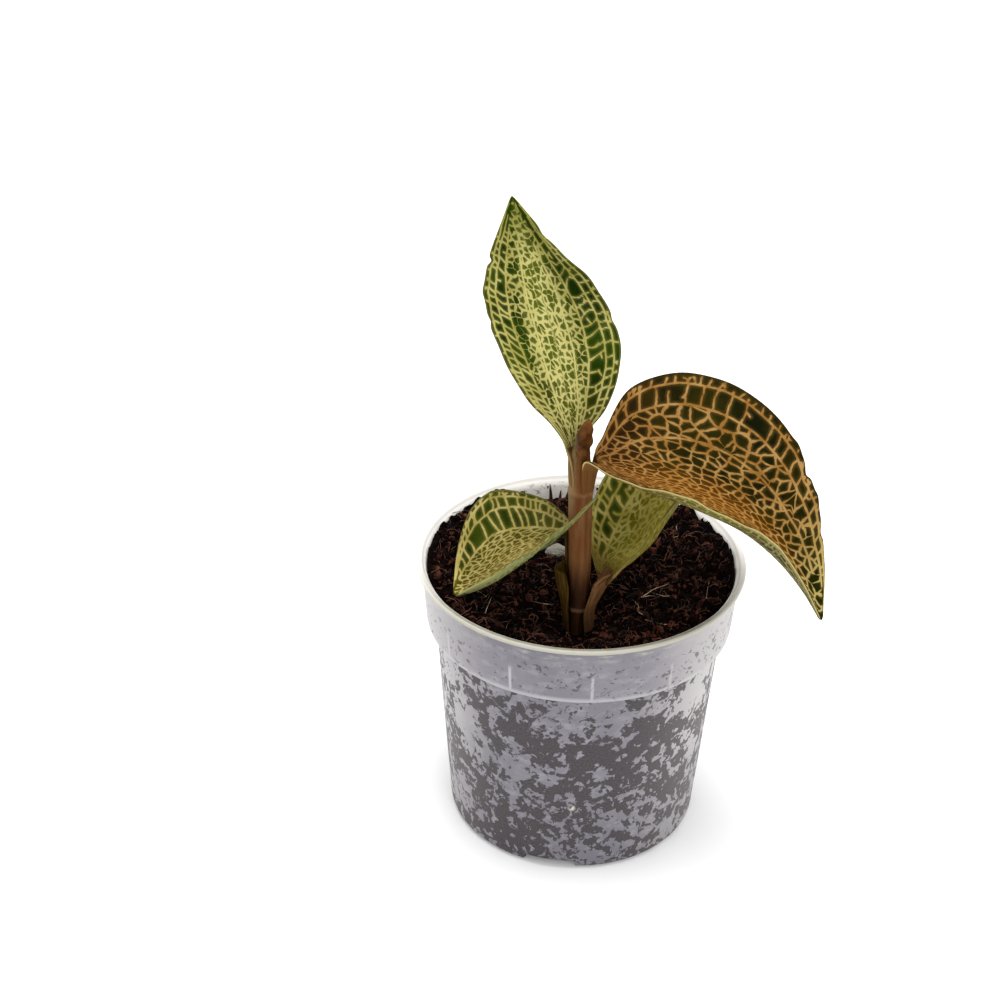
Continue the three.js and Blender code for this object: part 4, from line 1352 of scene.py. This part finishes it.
def wall_band():
    """Patches of the pot's inner wall above the soil, for scattering stray crumbs on."""
    radius, height = 27.75, np.array([51.8, 52.3, 52.8, 53.2])
    angle = np.radians(np.arange(0, 360, 1.0))
    a, z = np.meshgrid(angle, height, indexing="ij")
    points = np.stack([radius * np.sin(a), -radius * np.cos(a), z], -1).reshape(-1, 3)
    faces = []
    for k in range(len(angle)):
        middle = angle[k] + math.radians(0.5)
        side = abs(math.sin(middle)) - 0.35 * math.cos(middle) - 0.25
        for row in range(len(height) - 1):
            drift = lattice_noise(np.array([middle * 28]), height[row : row + 1], 2.2, 12)[0]
            if drift + 0.7 * side > 0.25 + 0.3 * row:
                here, after = k * len(height) + row, (k + 1) % len(angle) * len(height) + row
                faces.append((here, here + 1, after + 1, after))
    return add_mesh("wall_band", points * MM, faces)


def crumb_rule():
    """Scatters knobbly crumbs over the soil."""
    rule = Rule("soil_crumbs")
    density = rule.ask("Crumbs per square metre")
    small, large = rule.ask("Smallest"), rule.ask("Largest")
    seed = rule.ask("Seed", "NodeSocketInt")
    finish = rule.ask("Finish", "NodeSocketMaterial")
    ball = rule.out("GeometryNodeMeshIcoSphere", None, "Mesh", Radius=1.0, Subdivisions=1)
    pose = rule.vary((0, 0, 0), (6.28, 6.28, 6.28), seed)
    squash = rule.vary((0.55, 0.5, 0.45), (1.35, 1.1, 0.9), seed)
    scale = rule.scaled(squash, small + (large - small) * rule.roll(seed) ** 2.6)
    crumbs = rule.scatter(density, seed, ball, pose, scale)
    rule.end(rule.stir(crumbs, 1700.0, (0.5, 0.5, 0.5), 0.0011), finish)
    return rule


def fibre_rule():
    """Scatters short curled fibres over the soil as thin three-sided tubes."""
    rule = Rule("soil_fibres")
    density = rule.ask("Fibres per square metre")
    length, thick, curl = (rule.ask(name) for name in ("Length", "Thickness", "Curl"))
    seed = rule.ask("Seed", "NodeSocketInt")
    finish = rule.ask("Finish", "NodeSocketMaterial")
    bow = rule.out(
        "GeometryNodeCurveQuadraticBezier",
        Resolution=7,
        Start=(-0.5, 0, 0),
        Middle=(0.0, 0.22, 0.12),
        End=(0.5, 0, 0.0),
    )
    pose = rule.vary((-0.9, -0.5, 0.0), (0.9, 0.5, 6.28), seed)
    size = length * (0.45 + rule.roll(seed) * 0.9)
    scale = rule.out("ShaderNodeCombineXYZ", X=size, Y=size, Z=size)
    bent = rule.stir(rule.scatter(density, seed, bow, pose, scale), 420.0, (0.5, 0.5, 0.42), curl)
    outline = rule.out(
        "GeometryNodeCurvePrimitiveCircle", {"mode": "RADIUS"}, Resolution=3, Radius=thick
    )
    hair = rule.out("GeometryNodeCurveToMesh", Curve=bent, Profile_Curve=outline, Fill_Caps=True)
    rule.end(hair, finish)
    return rule


STRAND_RINGS, STRAND_SIDES = 22, 6


def strand(line, thick):
    """One placed hair or splinter: a tapered tube along points in millimetres."""
    share = np.linspace(0, 1, STRAND_RINGS)
    taper = thick * (1 - 0.75 * share**2)
    return tube(catmull(line, share), taper[:, None], STRAND_SIDES, (-0.13, -0.21, -1.0))


def make_strands(name, lines, thick, material):
    """All the strands along the given lines as one mesh."""
    points, faces = [], []
    for line in lines:
        more, closed = strand(line, thick)
        faces += [tuple(len(points) + k for k in face) for face in closed]
        points += list(more * MM)
    return add_mesh(name, points, faces, material)


def on_soil(x, y, above):
    return (x, y, float(soil_height(np.array([x]), np.array([y]))[0]) + above)


def hair_lines():
    """Pale root hairs lying on the soil: a few placed ones and some seeded ones."""
    placed = [
        [(11, -10.2), (13.5, -7.4), (15.9, -3.9), (18.4, -0.1)],
        [(11.4, -10.1), (12.6, -9.7), (13.9, -9.3)],
        [(11.7, -16.1), (14.4, -17.5), (17.4, -16.9)],
        [(-21.5, -10.9), (-19.6, -9.4), (-17.8, -9.9), (-16.5, -11.4)],
        [(-16.5, -16.5), (-16.1, -14.3), (-15.6, -11.7)],
        [(22.6, -9.9), (22.9, -6.6), (23.3, -4.3)],
    ]
    rng = np.random.default_rng(21)
    for _ in range(7):
        angle, radius = rng.uniform(0, 6.28), rng.uniform(6, 24)
        x, y = radius * math.cos(angle), radius * math.sin(angle)
        way, line = rng.uniform(0, 6.28), []
        for _ in range(4):
            if math.hypot(x, y) < 26 and math.hypot(x, y - STEM_FOOT[1]) > 4:
                line.append((x, y))
            way += rng.normal(0, 0.6)
            x, y = x + 1.5 * math.cos(way), y + 1.5 * math.sin(way)
        if len(line) > 2:
            placed.append(line)
    return [
        [on_soil(x, y, 0.3 + 0.25 * (k % 2)) for k, (x, y) in enumerate(line)] for line in placed
    ]


def splinter_lines():
    """Husk splinters that stand up, most of them at the rear."""
    lines = []
    for across, rise, way in ((-6.1, 5.4, -0.4), (-4.6, 4.0, 0.2), (-3.4, 4.4, 0.6)):
        x, y, z = on_soil(across, 24.2, -0.8)
        knee = (x + 0.4 * way, y + 0.1, z + 0.5 * rise)
        lines.append([(x, y, z), knee, (x + way, y + 0.2, z + rise)])
    rng = np.random.default_rng(8)
    for _ in range(26):
        angle = math.radians(rng.uniform(60, 300))
        radius = rng.uniform(12, 25.4)
        x, y, z = on_soil(radius * math.sin(angle), -radius * math.cos(angle), -0.6)
        dx, dy = rng.normal(0, 0.5), rng.normal(0, 0.4)
        rise = rng.uniform(1.0, 2.4)
        end = (x + 2 * dx, y + 2 * dy, z + rise)
        if math.hypot(end[0], end[1]) < 26:
            lines.append([(x, y, z), (x + dx, y + dy, z + rise * 0.6), end])
    return lines


def make_perlite(material):
    """One chalky grain, pitted and knobbly, sunk a little into the soil."""
    size, place = (2.2, 1.5, 1.4), Vector((-4.4, 4.7, 51.9))
    shape = bmesh.new()
    bmesh.ops.create_icosphere(shape, subdivisions=4, radius=1.0)
    for v in shape.verts:
        x, y, z = v.co
        knob = 1 + 0.07 * math.sin(5 * x + 2) * math.sin(4 * y) + 0.05 * math.sin(6 * z + 1)
        knob += 0.035 * math.sin(11 * x + 3 * y) * math.sin(9 * z - 2 * x)
        v.co = Vector((x * size[0], y * size[1], z * size[2])) * knob + place
        v.co *= MM
    mesh = bpy.data.meshes.new("perlite")
    shape.to_mesh(mesh)
    shape.free()
    mesh.shade_smooth()
    mesh.materials.append(material)
    return link("perlite", mesh)


# ---------------------------------------------------------------- camera, light and floor


def add_camera():
    """Looks down at the plant from 0.47 m, a little turned and rolled."""
    pan, pitch, roll, rise = (math.radians(a) for a in (2.34, 31.6, 1.27, 38.45))
    reach = 0.4684
    level = math.cos(pitch)
    forward = Vector((-math.sin(pan) * level, math.cos(pan) * level, -math.sin(pitch)))
    right = Vector((math.cos(pan), math.sin(pan), 0))
    up = right.cross(forward)
    turned_right = math.cos(roll) * right + math.sin(roll) * up
    turned_up = -math.sin(roll) * right + math.cos(roll) * up
    camera = link("camera", bpy.data.cameras.new("camera"))
    camera.data.sensor_fit = "HORIZONTAL"
    camera.data.sensor_width = 36
    camera.data.lens = 86.4
    camera.data.clip_start = 0.02
    place = Vector((0, -reach * math.cos(rise), reach * math.sin(rise)))
    basis = Matrix((turned_right, turned_up, -forward)).transposed()
    camera.matrix_world = Matrix.Translation(place) @ basis.to_4x4()
    bpy.context.scene.camera = camera


def add_light(name, place, size, power):
    """A round soft lamp that points at the middle of the plant."""
    lamp = link(name, bpy.data.lights.new(name, "AREA"))
    lamp.data.shape = "DISK"
    lamp.data.size = size
    lamp.data.energy = power
    way = Vector((0, 0, 0.06)) - Vector(place)
    turn = way.to_track_quat("-Z", "Y").to_matrix().to_4x4()
    lamp.matrix_world = Matrix.Translation(Vector(place)) @ turn


def add_stage():
    """A plain pale floor."""
    mat = Finish(
        "studio_floor", Specular_IOR_Level=0.0, Emission_Color=(1, 1, 1, 1), Emission_Strength=0.08
    )
    place, _ = mat.place()
    tone = mat.noise(place, 0.02, 2.0, 0.5)
    mat.paint(mat.blend(tone, (0.815, 0.815, 0.815), (0.83, 0.83, 0.83)), 0.8)
    floor = add_mesh(
        "studio_floor_plane",
        [(-3, -3, 0), (3, -3, 0), (3, 3, 0), (-3, 3, 0)],
        [(0, 1, 2, 3)],
        mat.material,
        smooth=False,
    )


def add_studio():
    """White surroundings, dimmer on the viewer's side, and two soft lamps."""
    world = bpy.data.worlds.new("studio")
    world.use_nodes = True
    bpy.context.scene.world = world
    tree = Tree(world.node_tree)
    sky = world.node_tree.nodes["Background"]
    x, y, z = tree.parts(tree.out("ShaderNodeTexCoord", pick="Generated"))
    behind = (y * 0.8 - x * 0.35 + z * 0.35).step(-0.8, 0.9)
    tree.put(sky.inputs["Color"], tree.blend(behind, (0.74, 0.74, 0.74), (1.0, 1.0, 1.0)))
    sky.inputs["Strength"].default_value = SKY
    add_light("key", (0.0, -0.02, 0.86), 0.45, KEY)
    add_light("fill", (0.3, -0.7, 0.6), 0.6, FILL)
    bpy.context.scene.view_settings.view_transform = "Standard"


# ---------------------------------------------------------------- build

add_camera()
add_stage()
add_studio()

pot = make_pot(pot_finish())
stem = make_stem(stem_finish())

VEINS = vein_rule()
upper_net = Net(
    UPPER_BLADE, 6,
    {
        1: [Row(0.62, 0.8, 1.6, 0.6, spur=0.1), Row(0.8, 0.93, 1.5, 0.45, spur=0)],
        -1: [Row(0.5, 0.77, 2.0, 0.45, 0.13, 0.2, 0.7), Row(0.77, 0.91, 1.9, 0.3, 0.1, 0.02, 0.1)],
    },
    (0.21, 0.975), 2.4, 1.3, 1.05, 1.5, lanes=(0.27,),
)
right_net = Net(
    RIGHT_BLADE, 9,
    {sign: [Row(0.76, 0.92, 2.45, 0.12, 0.1, 0.02, 0.15)] for sign in (1, -1)},
    (0.12, 0.985), 1.7, 2.0, 0.62, 2.7, lanes=(0.5,),
)
left_net = Net(
    LEFT_BLADE, 13,
    {
        1: [Row(0.5, 0.78, 1.7, 0.35, 0.08, 0.04, 0.05), Row(0.78, 0.92, 1.35, 0.2, spur=0)],
        -1: [Row(0.55, 0.8, 1.7, 0.35, 0.08), Row(0.8, 0.92, 1.35, 0.2, spur=0)],
    },
    (0.02, 0.985), 1.6, 1.6, 0.62, 0.95,
)
lower_net = Net(
    LOWER_BLADE, 17,
    {
        1: [Row(0.56, 0.78, 1.9, 0.3, 0.25, 0.2, 0.3), Row(0.78, 0.93, 1.8, 0.2, 0.15, spur=0)],
        -1: [Row(0.7, 0.92, 1.8, 0.3, 0.25, 0.2, 0.3)],
    },
    (0.06, 0.98), 1.8, 1.5, 0.8, 1.3,
)
leaf_upper = make_leaf("upper_leaf", UPPER_BLADE, (230, 110), upper_net, UPPER, (0.11, 0.27))
leaf_right = make_leaf("right_leaf", RIGHT_BLADE, (240, 176), right_net, RIGHT, (0.06, 0.13))
left_sheaths = (LEFT_STRIP, LEFT_FUNNEL)
leaf_left = make_leaf(
    "left_leaf", LEFT_BLADE, (140, 124), left_net, LEFT, (-0.2, -0.1), left_sheaths, turned=True
)
leaf_lower = make_leaf(
    "lower_right_leaf", LOWER_BLADE, (140, 110), lower_net, LOWER, (0.0, 0.1), (LOWER_FUNNEL,)
)

bed = make_soil(soil_finish("soil_dark", srgb(2, 1, 1), srgb(18, 8, 6)))
top = soil_top()
crumb_dark = soil_finish("crumb_dark", srgb(3, 1, 1), srgb(34, 17, 12), 0.35)
crumb_red = soil_finish("crumb_red", srgb(5, 2, 1), srgb(104, 60, 46), 0.5)
band = wall_band()
crumbs, fibres = crumb_rule(), fibre_rule()
litter = []
for name, base, density, small, large, seed, finish in (
    ("coir_crumbs_small", top, 1.9e6, 0.22, 0.75, 4, crumb_dark),
    ("coir_crumbs_large", top, 6.0e5, 0.25, 0.9, 7, crumb_red),
    ("wall_crumbs", band, 1.6e6, 0.15, 0.6, 9, crumb_dark),
):
    litter.append(crumbs.run(
        base, name, Crumbs_per_square_metre=density, Smallest=small * MM, Largest=large * MM,
        Seed=seed, Finish=finish,
    ))
litter.append(fibres.run(
    top, "coir_fibres", Fibres_per_square_metre=5.5e5, Length=2.4 * MM, Thickness=0.06 * MM,
    Curl=2.2 * MM, Seed=3, Finish=fibre_finish("fibre_red", srgb(8, 3, 2), srgb(104, 64, 46)),
))
for spare in (band, top):
    drop(spare)
hair_pale = fibre_finish("hair_pale", srgb(118, 96, 72), srgb(200, 180, 150))
litter.append(make_strands("root_hairs", hair_lines(), 0.065, hair_pale))
husk = fibre_finish("husk", srgb(30, 15, 10), srgb(84, 48, 34))
litter.append(make_strands("husk_splinters", splinter_lines(), 0.42, husk))
perlite = make_perlite(perlite_finish())

for piece, node, slot in (
    (pot, "pot", "pot"),
    (stem, "stem", "stem"),
    (leaf_upper, "leaf_upper", "leaf_green"),
    (leaf_right, "leaf_right", "leaf_bronze"),
    (leaf_left, "leaf_left", "leaf_green"),
    (leaf_lower, "leaf_lower_right", "leaf_green"),
    (bed, "soil", "soil"),
    (perlite, "perlite_grain", "perlite"),
):
    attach(piece, "root")
    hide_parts(node)
for piece in litter:
    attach(piece, "root")
